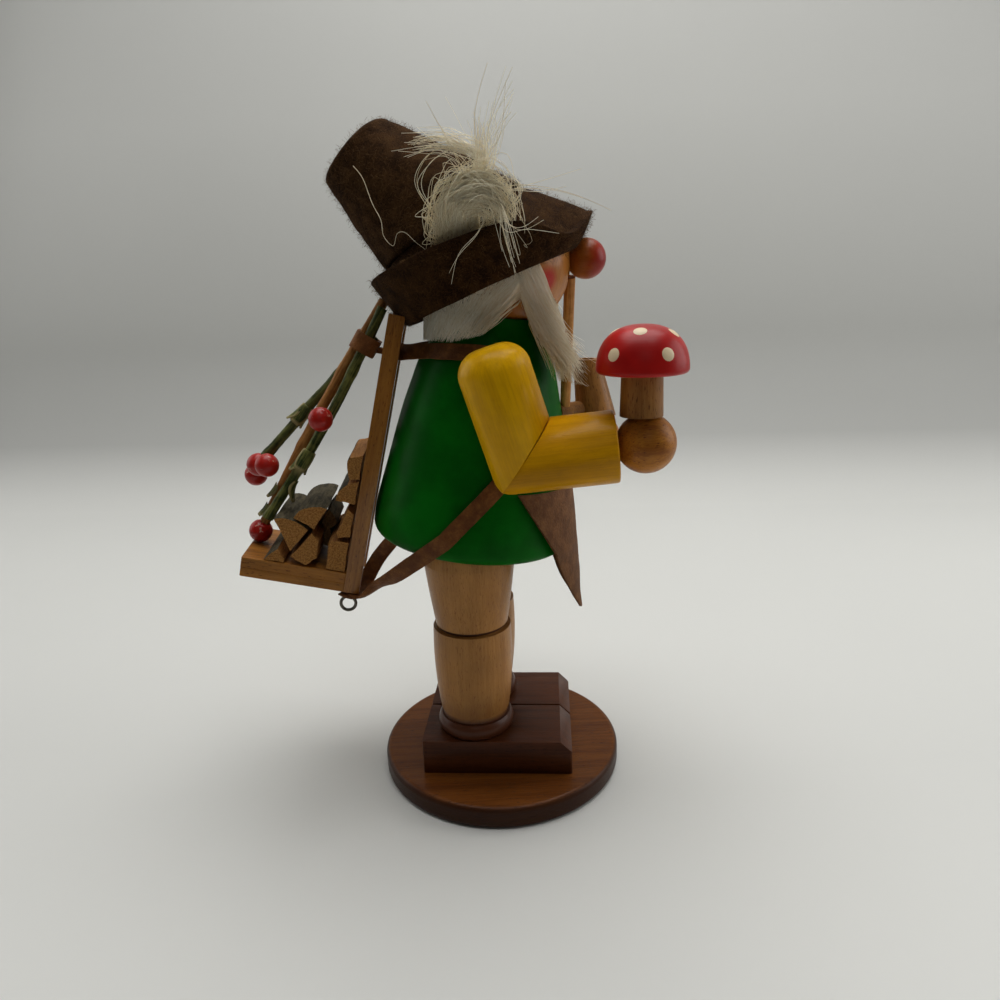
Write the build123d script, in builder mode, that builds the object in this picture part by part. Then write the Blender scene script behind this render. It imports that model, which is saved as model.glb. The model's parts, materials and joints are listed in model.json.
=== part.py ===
"""Incense smoker figure: an old mushroom gatherer with a firewood carrier on the back.

The hollow coat lifts off a round plug on the legs. A cone of incense burns in a tin dish on
that plug, and the smoke rises through the neck and leaves by the mouth.
The figure looks along +X, its left side is +Y, and the base stands on Z = 0.
"""

import math
import os

from build123d import *

# Driving dimensions in millimetres and degrees
glue_gap = 0.05  # between curved or drilled faces that are glued
turn_gap = 0.08  # radial clearance of the coat on its plug
soft_gap = 0.4  # room under leather, felt and fur

base_radius = 55
base_thickness = 10
base_round = 2.5

shoe_front = 33
shoe_back = -33
shoe_width = 30.4
shoe_height = 15.8
shoe_slit = 1.2
toe_chamfer = 5
shoe_round = 1.2

waist_x = -10.2
waist_height = 112.3
figure_lean = 7.5

leg_spacing = 29.2
ankle_radius = 17
ankle_round = 1.5
ankle_height = 7.2
ankle_neck_radius = 14.6
boot_foot_radius = 15.3
boot_radius = 17
boot_foot_height = 10.2
boot_top_height = 49.7
boot_groove = 1.6
boot_groove_radius = 15
knee_radius = 15.8
thigh_radius = 19.6
thigh_height = 80
leg_tenon_radius = 6.5
leg_tenon_length = 7.5
screw_radius = 2
screw_head_radius = 4
screw_head_depth = 2.2
screw_recess = 0.6
screw_length = 23

plug_radius = 34.9
plug_low = 2
plug_thickness = 12
plug_chamfer = 0.8
vent_radius = 3
vent_reach = 24

tray_radius = 12.6
tray_height = 5
tray_wall = 0.5
tray_recess = 1.5
tray_gap = 0.4

coat_hem_radius = 38.5
coat_hem_round = 5
coat_widest = 43.1
coat_seat_radius = 31
coat_collar_radius = 22.5
coat_height = 95
collar_height = 6
# Coat taper: in from the widest, and share of the height up to the collar
coat_taper = ((0.6, 0.1416), (2.8, 0.2697), (5.9, 0.4461), (9.9, 0.6539), (12.7, 0.7697))
coat_shoulder = ((5.1, 12), (1.5, 5.5))  # out from the collar, drop below it
chamber_roof = 17
chamber_dome = ((17, 2), (9, 8), (4, 20), (0.5, 38))  # in from the seat, drop below the top
smoke_radius = 5
neck_tenon_radius = 12
neck_tenon_length = 10

head_radius = 29.6
head_height = 45
head_jaw = ((8.6, 0), (5.6, 3.4), (2.8, 8), (0.7, 13.5), (0, 19))  # in from the widest, height
head_dome = ((0.3, 20), (2.4, 14.5), (6.8, 9), (13, 4), (22, 0))  # in from the widest, drop below the top
mouth_radius = 2.4
mouth_height = 19
mouth_side = -3.4
nose_radius = 8
nose_height = 25.6
nose_reach = 35.4

arm_radius = 13.6
arm_y = 43.5
elbow_x = 15.25
elbow_height = 43.9  # above the waist, like the other heights of the arms
upper_arm_length = 42.5
upper_arm_lean = 17.2
forearm_rise = 5.5
shoulder_round = 9.5
hand_radius = 11.2
hand_flat = 10.7
hand_distance = 45.2
hand_seat = 10.2
dowel_radius = 3
dowel_height = 19.7
dowel_in_arm = 6
dowel_in_coat = 4.6
peg_radius = 2.5
peg_depth = 6
left_elbow_x = 10
left_elbow_y = 56
left_elbow_height = 37.2
left_hand_x = 47
left_hand_y = 35.5
left_hand_height = 35.7

stalk_foot_radius = 7.9
stalk_top_radius = 7.5
stalk_height = 15.4
stalk_back = 1.8  # behind the middle of the hand
stalk_tenon_radius = 3
stalk_tenon_length = 6
cap_radius = 16.6
cap_height = 17.2
cap_lip = 1.6

bowl_foot_radius = 9.3
bowl_top_radius = 6.2
bowl_height = 26
bowl_lean_x = -4.2
bowl_dimple_radius = 3.6
bowl_dimple_depth = 3
spur_radius = 3.6
spur_height = 3.7
spur_x = -14.6
spur_y = -9
stem_radius = 2.3
stem_side = 3.4
stem_drop = 1  # below the middle of the mouth
stem_reach = 0.4  # out from the widest of the head

felt = 3
# Hat places are measured back and down from the top of the head
crown_back = 20.5
crown_drop = 10.6
crown_tilt = 28.9
crown_along = 31.2
crown_across = 33
crown_slump = 37.6
crown_rise = 29.9
crown_top_tilt = 44
crown_top_radius = 16.4
crown_round = 3.5

fold_back = 5.1
fold_along = 36.5
fold_across = 36
fold_drop = 35.9
fold_slope = 0.394
fold_nose_lift = 5.2
fold_nose_span = 20
edge_back = 9.4
edge_along = 45
edge_across = 43
edge_drop = 18.1
edge_slope = 0.29
edge_side_lift = 3.5

hair_thickness = 3.2
hair_drop = 9  # below the collar
hair_rise = 10  # above it
hair_from = 78
beard_thickness = 4
beard_drop = 18
beard_rise = 12
beard_half_angle = 40

# Tuft sections: above and ahead of the crown's base, centre y, half length and half width
tuft_sections = (
    (-8.5, 14.4, -36.2, 7, 1.1),
    (18, 11.4, -34.2, 13, 3),
    (44.5, 8.4, -30.2, 15, 2),
)

leather = 1.2
strap_width = 6.8
strap_ease = 0.3  # extra room under a strap on the coat
strap_first = 2.5
strap_leave = 9
tab_start = 7
tab_end = 4.5
# Strap routes on the coat: share of the coat's height and angle from the front
strap_over = (
    (0.827, 145), (0.836, 130), (0.844, 113), (0.85, 96), (0.847, 78), (0.82, 64), (0.75, 54), (0.653, 49.5),
    (0.558, 51), (0.484, 57.5), (0.426, 64), (0.379, 70), (0.328, 75.6),
)
strap_under_right = (
    (0.261, 83.2), (0.173, 92.6), (0.127, 97.1), (0.083, 101.8), (0.03, 107.5), (-0.026, 114),
)
strap_under_left = ((0.273, 82), (0.195, 90), (0.105, 100), (0.026, 110), (-0.037, 121))
# Free strap points behind the coat, from the screw eye, each with the direction that its outer face looks
strap_free_right = (
    ((28.7, -19.1, 17.2), (-0.5, -0.75, -0.4)),
    ((21, -13.6, 10.8), (-0.35, -0.6, -0.7)),
    ((13.2, -7.1, 5.1), (-0.2, -0.3, -0.95)),
)
strap_free_left = (
    ((21.2, 50.4, 16.5), (-0.55, 0.75, -0.35)),
    ((13.2, 40.4, 11.2), (-0.65, 0.5, -0.55)),
    ((7.2, 24.9, 5.7), (-0.6, 0.1, -0.8)),
    ((2.9, 12.9, -1.8), (-0.3, 0, -0.95)),
)
apron_top = 29.5
apron_top_angle = 62
apron_tip = -28.5
apron_tip_angle = 2
apron_top_ease = 0.7  # off the coat
apron_tip_radius = 51.8
apron_swing = 0.9
apron_near_fall = 0.95  # how the half widths shrink towards the tip
apron_far_fall = 0.63
apron_curl_radius = 9
apron_curl_start = 0.45  # share of the way down where the leather starts to curl
apron_curl_growth = 0.7
apron_steps = 9

carrier_x = -61.2
carrier_drop = 20.8  # below the waist
carrier_lean = 13.5
carrier_yaw = 8
post_thickness = 6.6
post_width = 8
post_drop = 8  # posts' tops below the level of the hat's fold
carrier_width = 41
slat_thickness = 4
slat_width = 5
slat_inset = 1.3
slat_low = 36
slat_drop = 15  # top slat below the posts' tops
floor_length = 44
floor_thickness = 4.5
bearer_thickness = 4
log_length = 40
log_room = 0.6
eye_ring_radius = 3.2
eye_wire_radius = 0.7
eye_shank_radius = 0.9
eye_depth = 8
eye_forward = -3.8
tack_head_radius = 1.5
tack_head_thickness = 0.7
tack_radius = 0.5
tack_length = 4
tack_side = 5.5

berry_radius = 5.1
rod_radius = 2.3
green_radius = 2.2
# Twig tops: forward, left and up from the carrier's front face at the top slat
brown_left = 1.5
brown_top = (-10.3, brown_left, 19)
green_near_top = (-10.3, -3.3, 16)
green_far_top = (-12.4, 6.3, 3.5)
# Twig feet and berries: forward, left and up from the carrier's front lower edge
low_berry_back = -47.9
green_near_foot = (-44.3, -7, 23)
end_berry_at = (-53.3, 5.5, 42.5)
front_berry_at = (-48.1, -3.2, 45.2)
hang_berry_at = (-55.2, 13.2, 35.7)
bead_distance = 52
bead_bite = 0.6
band_back = -15.1
band_left = 1.3
band_width = 7.5
band_long = 16.4
band_deep = 8.6
tie_width = 5
tie_height = 2.4

# Values that follow from the driving dimensions
coat_bore = plug_radius + turn_gap
plug_top = plug_low + plug_thickness
shoe_top = base_thickness + shoe_height
lean_sin = math.sin(math.radians(figure_lean))
lean_cos = math.cos(math.radians(figure_lean))
waist = Vector(waist_x, 0, waist_height)
figure_up = Vector(lean_sin, 0, lean_cos)
figure_front = Vector(lean_cos, 0, -lean_sin)
figure_axis = Axis(waist, figure_up)
chamber_top = coat_height - chamber_roof
head_top = waist + figure_up * (coat_height + head_height)
crown_x = head_top.X - crown_back
crown_height = head_top.Z - crown_drop
fold_x = head_top.X - fold_back
fold_height = head_top.Z - fold_drop
edge_x = head_top.X - edge_back
edge_height = head_top.Z - edge_drop
post_top_height = fold_height - post_drop
hair_low = coat_height - hair_drop
hair_high = coat_height + hair_rise
beard_low = coat_height - beard_drop
beard_high = coat_height + beard_rise
carrier_height = waist_height - carrier_drop
strap_lift = leather / 2 + soft_gap + strap_ease

os.makedirs("parts", exist_ok=True)


def save(part, name):
    """Label one finished piece and write it."""
    part.label = name
    export_step(part, f"parts/{name}.step")


def figure_section(angle=0):
    """Plane through the coat axis: local x is the radius, local y the height above the hem."""
    turn = math.radians(angle)
    radial = figure_front * math.cos(turn) + Vector(0, math.sin(turn), 0)
    return Plane(origin=waist, x_dir=radial, z_dir=radial.cross(figure_up))


def figure_plane(height):
    """Plane square to the coat axis at a height above the hem."""
    return Plane(origin=waist + figure_up * height, x_dir=figure_front, z_dir=figure_up)


def figure_point(height, radius, angle):
    """Point of the figure by its height above the hem, radius and angle from the front."""
    turn = math.radians(angle)
    radial = figure_front * math.cos(turn) + Vector(0, math.sin(turn), 0)
    return waist + figure_up * height + radial * radius


def coat_outline(extra=0):
    """Radius and height of the coat's turned outside, from above the hem to the collar."""
    neck = coat_height - collar_height
    shape = [(coat_widest, coat_hem_round)]
    shape += [(coat_widest - inward, share * neck) for inward, share in coat_taper]
    shape += [(coat_collar_radius + outward, neck - drop) for outward, drop in coat_shoulder]
    shape += [(coat_collar_radius, neck), (coat_collar_radius, coat_height)]
    return [(radius + extra, height) for radius, height in shape]


def coat_radius(height):
    """Radius of the coat's outside at a height above the hem, on straight lines."""
    shape = coat_outline()
    if height <= shape[0][1]:
        return coat_widest
    for (low_radius, low), (high_radius, high) in zip(shape, shape[1:]):
        if height <= high:
            share = (height - low) / (high - low)
            return low_radius + share * (high_radius - low_radius)
    return coat_collar_radius


def head_outline(extra=0):
    """Radius and height of the turned head above the collar, from the neck to the crown."""
    shape = [(head_radius - inward, height) for inward, height in head_jaw]
    shape += [(head_radius - inward, head_height - drop) for inward, drop in head_dome]
    return [(radius + extra, coat_height + height) for radius, height in shape]


def rod(start, end, radius):
    """Round bar between two points."""
    direction = Vector(*end) - Vector(*start)
    with BuildPart() as bar:
        with BuildSketch(Plane(origin=start, z_dir=direction)):
            Circle(radius)
        extrude(amount=direction.length)
    return bar.part


def turned(section, axis, points):
    """Solid turned from a closed outline of straight lines."""
    with BuildPart() as piece:
        with BuildSketch(section):
            with BuildLine():
                Polyline(*points, close=True)
            make_face()
        revolve(axis=axis)
    return piece.part


def coat_room(extra):
    """Full solid of the coat's outside, grown by a gap, used to seat pieces against it."""
    outline = coat_outline(extra)
    with BuildPart() as room:
        with BuildSketch(figure_section()):
            with BuildLine():
                Polyline((0, coat_height), (0, 0), (outline[0][0], 0), outline[0])
                Spline(*outline)
                Line(outline[-1], (0, coat_height))
            make_face()
        revolve(axis=figure_axis)
    return room.part


def head_room(extra):
    """Full solid of the head's outside, grown by a gap."""
    outline = head_outline(extra)
    low = (0, outline[0][1])
    high = (0, outline[-1][1])
    with BuildPart() as room:
        with BuildSketch(figure_section()):
            with BuildLine():
                Polyline(high, low, outline[0])
                Spline(*outline)
                Line(outline[-1], high)
            make_face()
        revolve(axis=figure_axis)
    return room.part


# Stand: base disc, shoes, legs and the screws that hold them
leg_sides = (("right", -1), ("left", 1))


def leg_axis(side):
    """Upright axis of one leg."""
    return Axis((waist_x, side * leg_spacing / 2, 0), (0, 0, 1))


def leg_section(side):
    """Upright plane through one leg: local x is the radius, local y the height."""
    return Plane(origin=(waist_x, side * leg_spacing / 2, 0), x_dir=(1, 0, 0), z_dir=(0, -1, 0))


def base_screw(side, extra=0):
    """Countersunk screw up through the base and shoe into the leg, grown by a gap for its hole."""
    radius = screw_radius + extra
    head = screw_head_radius + extra
    neck = screw_recess + screw_head_depth
    tip = screw_recess + screw_length + extra
    outline = ((0, screw_recess), (head, screw_recess), (radius, neck), (radius, tip), (0, tip))
    return turned(leg_section(side), leg_axis(side), outline)


with BuildPart() as base_disc:
    with BuildSketch(Plane.XY):
        Circle(base_radius)
    extrude(amount=base_thickness)
    fillet(base_disc.edges().filter_by(GeomType.CIRCLE), base_round)
    for name, side in leg_sides:
        add(base_screw(side, glue_gap), mode=Mode.SUBTRACT)
        with BuildSketch(Plane(origin=(waist_x, side * leg_spacing / 2, 0))):
            Circle(screw_head_radius + glue_gap)
        extrude(amount=screw_recess, mode=Mode.SUBTRACT)
save(base_disc.part, "base_disc")

with BuildPart() as base_screws:
    for name, side in leg_sides:
        add(base_screw(side))
save(base_screws.part, "base_screws")

for name, side in leg_sides:
    shoe_y = side * (shoe_slit + shoe_width) / 2
    shoe_plane = Plane(origin=((shoe_front + shoe_back) / 2, shoe_y, base_thickness))
    with BuildPart() as shoe:
        with BuildSketch(shoe_plane):
            Rectangle(shoe_front - shoe_back, shoe_width)
        extrude(amount=shoe_height)
        upper = shoe.edges().filter_by(Axis.Y).group_by(Axis.Z)[-1]
        chamfer(upper.sort_by(Axis.X)[-1], toe_chamfer)
        fillet(shoe.edges().filter_by(Axis.Z), shoe_round)
        with BuildSketch(Plane(origin=(waist_x, side * leg_spacing / 2, shoe_top))):
            Circle(leg_tenon_radius + glue_gap)
        extrude(amount=-leg_tenon_length - glue_gap, mode=Mode.SUBTRACT)
        add(base_screw(side, glue_gap), mode=Mode.SUBTRACT)
    save(shoe.part, f"shoe_{name}")

plug_underside = figure_plane(plug_low)
leg_tenon_top = waist_height + plug_low + leg_tenon_length

for name, side in leg_sides:
    boot_foot = shoe_top + boot_foot_height
    boot_top = shoe_top + boot_top_height
    knee = boot_top + boot_groove
    ankle = shoe_top + ankle_height
    with BuildPart() as leg:
        with BuildSketch(leg_section(side)):
            with BuildLine():
                Line((0, shoe_top), (ankle_radius - ankle_round, shoe_top))
                ThreePointArc(
                    (ankle_radius - ankle_round, shoe_top),
                    (ankle_radius, shoe_top + ankle_height / 2),
                    (ankle_radius - ankle_round, ankle),
                )
                Polyline(
                    (ankle_radius - ankle_round, ankle),
                    (ankle_neck_radius, ankle),
                    (ankle_neck_radius, boot_foot),
                )
                Line((ankle_neck_radius, boot_foot), (boot_foot_radius, boot_foot))
                Spline(
                    (boot_foot_radius, boot_foot),
                    (boot_radius - 0.2, (2 * boot_foot + boot_top) / 3),
                    (boot_radius, boot_top),
                )
                Polyline((boot_radius, boot_top), (boot_groove_radius, boot_top), (boot_groove_radius, knee))
                Line((boot_groove_radius, knee), (knee_radius, knee))
                Spline(
                    (knee_radius, knee),
                    (knee_radius + 0.55 * (thigh_radius - knee_radius), (knee + shoe_top + thigh_height) / 2),
                    (thigh_radius, shoe_top + thigh_height),
                )
                Polyline(
                    (thigh_radius, shoe_top + thigh_height),
                    (thigh_radius, leg_tenon_top),
                    (0, leg_tenon_top),
                    (0, shoe_top),
                )
            make_face()
        revolve(axis=leg_axis(side))
        split(bisect_by=plug_underside, keep=Keep.BOTTOM)
        split(bisect_by=Plane(origin=(0, side * shoe_slit / 2, 0), z_dir=(0, side, 0)), keep=Keep.TOP)
        with BuildSketch(Plane(origin=(waist_x, side * leg_spacing / 2, shoe_top - leg_tenon_length))):
            Circle(leg_tenon_radius)
        extrude(amount=leg_tenon_top - shoe_top + leg_tenon_length)
        add(base_screw(side, glue_gap), mode=Mode.SUBTRACT)
    save(leg.part, f"leg_{name}")

# Waist plug with the tin dish for the incense
with BuildPart() as waist_plug:
    with BuildSketch(figure_plane(plug_low)):
        Circle(plug_radius)
    extrude(amount=plug_thickness)
    chamfer(waist_plug.edges().sort_by(figure_axis)[-1], plug_chamfer)
    with BuildSketch(figure_plane(plug_top)):
        Circle(tray_radius + tray_gap)
    extrude(amount=-tray_recess, mode=Mode.SUBTRACT)
    with BuildSketch(figure_plane(plug_top)):
        with PolarLocations(vent_reach, 2):
            Circle(vent_radius)
    extrude(amount=-plug_thickness, mode=Mode.SUBTRACT)
    for name, side in leg_sides:
        with BuildSketch(Plane(origin=(waist_x, side * leg_spacing / 2, leg_tenon_top + glue_gap))):
            Circle(leg_tenon_radius + glue_gap)
        extrude(amount=-2 * leg_tenon_length, mode=Mode.SUBTRACT)
save(waist_plug.part, "waist_plug")

tray_low = plug_top - tray_recess + glue_gap
with BuildPart() as incense_tray:
    with BuildSketch(figure_plane(tray_low)):
        Circle(tray_radius)
    extrude(amount=tray_height)
    with BuildSketch(figure_plane(tray_low + tray_wall)):
        Circle(tray_radius - tray_wall)
    extrude(amount=tray_height, mode=Mode.SUBTRACT)
save(incense_tray.part, "incense_tray")

# Arm lines, which also place the dowel holes in the coat
def arm_frame(elbow, shoulder, hand):
    """Directions of a bent arm and the mitre plane that its two halves share."""
    up = (shoulder - elbow).normalized()
    out = (hand - elbow).normalized()
    mitre = Plane(origin=elbow, z_dir=(up - out).normalized())
    return up, out, mitre


arm_turn = math.radians(upper_arm_lean)
rise_turn = math.radians(forearm_rise)
right_elbow = Vector(elbow_x, -arm_y, waist_height + elbow_height)
right_shoulder = right_elbow + Vector(-math.sin(arm_turn), 0, math.cos(arm_turn)) * upper_arm_length
right_hand = right_elbow + Vector(math.cos(rise_turn), 0, math.sin(rise_turn)) * hand_distance
left_elbow = Vector(left_elbow_x, left_elbow_y, waist_height + left_elbow_height)
left_shoulder = Vector(right_shoulder.X, arm_y, right_shoulder.Z)
left_hand = Vector(left_hand_x, left_hand_y, waist_height + left_hand_height)
left_out = (left_hand - left_elbow).normalized()
arms = (
    ("right", -1, right_elbow, right_shoulder, right_hand),
    ("left", 1, left_elbow, left_shoulder, left_hand),
)


def palm_seat(side, hand):
    """Point on top of a hand where what it holds is pegged."""
    back = stalk_back if side < 0 else 0
    return hand + Vector(-back, 0, hand_seat)


def shoulder_dowel(side, elbow, shoulder, extra=0):
    """Dowel along Y between the coat wall and the upper arm."""
    share = dowel_height / upper_arm_length
    middle = elbow + (shoulder - elbow) * share
    height = (middle - waist).dot(figure_up)
    reach = (middle - waist).dot(figure_front)
    wall = math.sqrt(coat_radius(height) ** 2 - reach**2)
    start = (middle.X, side * (wall - dowel_in_coat - extra), middle.Z)
    end = (middle.X, side * (wall + dowel_in_arm + extra), middle.Z)
    return rod(start, end, dowel_radius + extra)


# Coat: turned, hollow, with a seat for the plug and a smoke channel up the neck
coat_shape = coat_outline()
hem_middle = coat_widest - 0.3 * (coat_widest - coat_hem_radius)
with BuildPart() as coat:
    with BuildSketch(figure_section()):
        with BuildLine():
            Line((coat_bore, 0), (coat_hem_radius, 0))
            ThreePointArc((coat_hem_radius, 0), (hem_middle, 0.28 * coat_hem_round), coat_shape[0])
            Spline(*coat_shape)
            Polyline(
                coat_shape[-1],
                (neck_tenon_radius + glue_gap, coat_height),
                (neck_tenon_radius + glue_gap, coat_height - neck_tenon_length - glue_gap),
                (smoke_radius, coat_height - neck_tenon_length - glue_gap),
                (smoke_radius, chamber_top),
                *[(coat_seat_radius - inward, chamber_top - drop) for inward, drop in chamber_dome],
                (coat_seat_radius, plug_top + glue_gap),
                (coat_bore, plug_top + glue_gap),
                (coat_bore, 0),
            )
        make_face()
    revolve(axis=figure_axis)
    for name, side, elbow, shoulder, hand in arms:
        add(shoulder_dowel(side, elbow, shoulder, glue_gap), mode=Mode.SUBTRACT)
save(coat.part, "coat")

# Head with its smoke channel, the nose ball and the mouth
nose_centre = figure_point(coat_height + nose_height, nose_reach, 0)
stem_top = figure_point(coat_height + mouth_height - stem_drop, head_radius + stem_reach, 0)
stem_top += Vector(0, stem_side, 0)
bowl_foot = palm_seat(1, left_hand)
spur_end = bowl_foot + Vector(spur_x, spur_y, spur_height)
mouth_start = figure_point(coat_height + mouth_height, 0, 0) + Vector(0, mouth_side, 0)
mouth_end = mouth_start + figure_front * (head_radius + 3)
neck_low = coat_height - neck_tenon_length

with BuildPart() as head:
    add(head_room(0))
    with BuildSketch(figure_plane(neck_low)):
        Circle(neck_tenon_radius)
    extrude(amount=neck_tenon_length)
    with BuildSketch(figure_plane(neck_low)):
        Circle(smoke_radius)
    extrude(amount=neck_tenon_length + mouth_height + mouth_radius, mode=Mode.SUBTRACT)
    add(rod(mouth_start, mouth_end, mouth_radius), mode=Mode.SUBTRACT)
    with BuildSketch(Plane(origin=nose_centre, z_dir=(0, 1, 0))):
        with BuildLine():
            CenterArc((0, 0), nose_radius + glue_gap, -90, 180)
            Line((0, nose_radius + glue_gap), (0, -nose_radius - glue_gap))
        make_face()
    revolve(axis=Axis(nose_centre, Plane(origin=nose_centre, z_dir=(0, 1, 0)).y_dir), mode=Mode.SUBTRACT)
    add(rod(stem_top, spur_end, stem_radius + glue_gap), mode=Mode.SUBTRACT)
save(head.part, "head")


def ball(centre, radius):
    """Turned ball."""
    with BuildPart() as sphere:
        with Locations(centre):
            Sphere(radius)
    return sphere.part


with BuildPart() as nose:
    add(ball(nose_centre, nose_radius))
save(nose.part, "nose")

# Mushroom on the right hand
stalk_foot = palm_seat(-1, right_hand)
stalk_axis = Axis(stalk_foot, (0, 0, 1))
stalk_section = Plane(origin=stalk_foot, x_dir=(1, 0, 0), z_dir=(0, -1, 0))
with BuildPart() as mushroom_stalk:
    with BuildSketch(stalk_section):
        with BuildLine():
            Polyline(
                (peg_radius + glue_gap, 0),
                (stalk_foot_radius, 0),
                (stalk_top_radius, stalk_height),
                (stalk_tenon_radius, stalk_height),
                (stalk_tenon_radius, stalk_height + stalk_tenon_length),
                (0, stalk_height + stalk_tenon_length),
                (0, peg_depth + glue_gap),
                (peg_radius + glue_gap, peg_depth + glue_gap),
                close=True,
            )
        make_face()
    revolve(axis=stalk_axis)
save(mushroom_stalk.part, "mushroom_stalk")

cap_low = stalk_height + glue_gap
with BuildPart() as mushroom_cap:
    with BuildSketch(stalk_section):
        with BuildLine():
            Line((stalk_tenon_radius + glue_gap, cap_low), (cap_radius - cap_lip, cap_low))
            ThreePointArc(
                (cap_radius - cap_lip, cap_low),
                (cap_radius - 0.3 * cap_lip, cap_low + 0.3 * cap_lip),
                (cap_radius, cap_low + cap_lip),
            )
            Spline(
                (cap_radius, cap_low + cap_lip),
                (0.86 * cap_radius, cap_low + 0.62 * cap_height),
                (0, cap_low + cap_height),
                tangents=((0, 1), (-1, 0)),
            )
            Polyline(
                (0, cap_low + cap_height),
                (0, cap_low + stalk_tenon_length + glue_gap),
                (stalk_tenon_radius + glue_gap, cap_low + stalk_tenon_length + glue_gap),
                (stalk_tenon_radius + glue_gap, cap_low),
            )
        make_face()
    revolve(axis=stalk_axis)
save(mushroom_cap.part, "mushroom_cap")

# Pipe: a branch stub as the bowl, with a side spur that holds the twig stem
bowl_top = bowl_foot + Vector(bowl_lean_x, 0, bowl_height)
with BuildPart() as pipe_bowl:
    with BuildSketch(Plane(origin=bowl_foot)):
        Circle(bowl_foot_radius)
    with BuildSketch(Plane(origin=bowl_top)):
        Circle(bowl_top_radius)
    loft()
    spur_tip = spur_end + Vector(spur_x, spur_y, 0).normalized() * spur_radius
    add(rod(bowl_foot + Vector(0, 0, spur_height), spur_tip, spur_radius))
    with BuildSketch(Plane(origin=bowl_top)):
        Circle(bowl_dimple_radius)
    extrude(amount=-bowl_dimple_depth, mode=Mode.SUBTRACT)
    with BuildSketch(Plane(origin=bowl_foot)):
        Circle(peg_radius + glue_gap)
    extrude(amount=peg_depth + glue_gap, mode=Mode.SUBTRACT)
    add(rod(stem_top, spur_end, stem_radius + glue_gap), mode=Mode.SUBTRACT)
    add(rod(left_elbow, left_hand - left_out * hand_flat, arm_radius + glue_gap), mode=Mode.SUBTRACT)
save(pipe_bowl.part, "pipe_bowl")

with BuildPart() as pipe_stem:
    add(rod(stem_top, spur_end, stem_radius))
save(pipe_stem.part, "pipe_stem")

# Felt hat: a slumped crown and a brim turned up at the sides and back
crown_turn = math.radians(crown_tilt)
top_turn = math.radians(crown_top_tilt)
crown_base = Plane(
    origin=(crown_x, 0, crown_height),
    x_dir=(math.cos(crown_turn), 0, math.sin(crown_turn)),
    z_dir=(-math.sin(crown_turn), 0, math.cos(crown_turn)),
)
crown_top = Plane(
    origin=(crown_x - crown_slump, 0, crown_height + crown_rise),
    x_dir=(math.cos(top_turn), 0, math.sin(top_turn)),
    z_dir=(-math.sin(top_turn), 0, math.cos(top_turn)),
)

with BuildPart() as crown_inside:
    with BuildSketch(crown_base):
        Ellipse(crown_along - felt, crown_across - felt)
    with BuildSketch(crown_top.offset(-felt)):
        Circle(crown_top_radius - felt)
    loft()

with BuildPart() as crown_outside:
    with BuildSketch(crown_base):
        Ellipse(crown_along, crown_across)
    with BuildSketch(crown_top):
        Circle(crown_top_radius)
    loft()
    fillet(crown_outside.faces().sort_by(Axis(crown_base.origin, crown_base.z_dir))[-1].edges(), crown_round)

with BuildPart() as hat_crown:
    add(crown_outside.part)
    add(crown_inside.part, mode=Mode.SUBTRACT)
save(hat_crown.part, "hat_crown")


def ring_radius(angle, centre, along, across):
    """Distance from the upright Z line to an oval ring, centred on X, in one direction."""
    turn = math.radians(angle)
    a = (math.cos(turn) / along) ** 2 + (math.sin(turn) / across) ** 2
    b = -centre * math.cos(turn) / along**2
    c = (centre / along) ** 2 - 1
    return (-b + math.sqrt(b * b - a * c)) / a


def brim_section(angle):
    """Outline of the felt brim in the upright plane at an angle from the front."""
    turn = math.radians(angle)
    forward = math.cos(turn)
    back_share = (1 - forward) / 2
    crown_slope = math.tan(crown_turn)
    crown_flat = crown_along * math.cos(crown_turn)
    crown_reach = ring_radius(angle, crown_x, crown_flat, crown_across)
    inner_flat = (crown_along - felt) * math.cos(crown_turn)
    inner_reach = ring_radius(angle, crown_x, inner_flat, crown_across - felt)
    crown_z = crown_height + crown_slope * (crown_reach * forward - crown_x)
    inner_z = crown_height + crown_slope * (inner_reach * forward - crown_x)
    fold_reach = ring_radius(angle, fold_x, fold_along, fold_across)
    fold_z = fold_height + fold_slope * fold_reach * forward
    fold_z += fold_nose_lift * max(0, 1 - angle / fold_nose_span)
    edge_reach = ring_radius(angle, edge_x, edge_along, edge_across)
    edge_z = edge_height + edge_slope * edge_reach * forward + edge_side_lift * math.sin(turn)
    edge_inner = edge_reach - felt
    notch_reach = edge_inner + (fold_reach - 0.2 * felt - edge_inner) * back_share**0.5
    notch_low = fold_z + 1.6 * felt
    notch_high = edge_z + 0.25 * felt
    notch_z = notch_high + (notch_low - notch_high) * back_share**0.5
    front_share = 1 - back_share
    middle_reach = (fold_reach - felt + inner_reach) / 2
    inside_reach = front_share * (fold_reach - felt) + back_share * middle_reach
    inside_z = front_share * (edge_z - 1.2 * felt) + back_share * (fold_z + inner_z) / 2
    return (
        (crown_reach, crown_z),
        (notch_reach, notch_z),
        (edge_inner, edge_z + 0.05 * felt),
        (edge_reach, edge_z),
        (fold_reach, fold_z),
        (fold_reach - felt, fold_z + 0.2 * felt),
        (inside_reach, inside_z),
        (inner_reach, inner_z),
    )

# White fur: a strip round the back of the head and a beard along the jaw
head_shape = head_outline()


def fur_inside(height):
    """Radius that fur lies on at a height above the hem: the coat, the collar or the head."""
    if height < coat_height:
        return coat_radius(height)
    for (low_radius, low), (high_radius, high) in zip(head_shape, head_shape[1:]):
        if height <= high:
            share = (height - low) / (high - low)
            return max(coat_collar_radius, low_radius + share * (high_radius - low_radius))
    return head_radius


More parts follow.
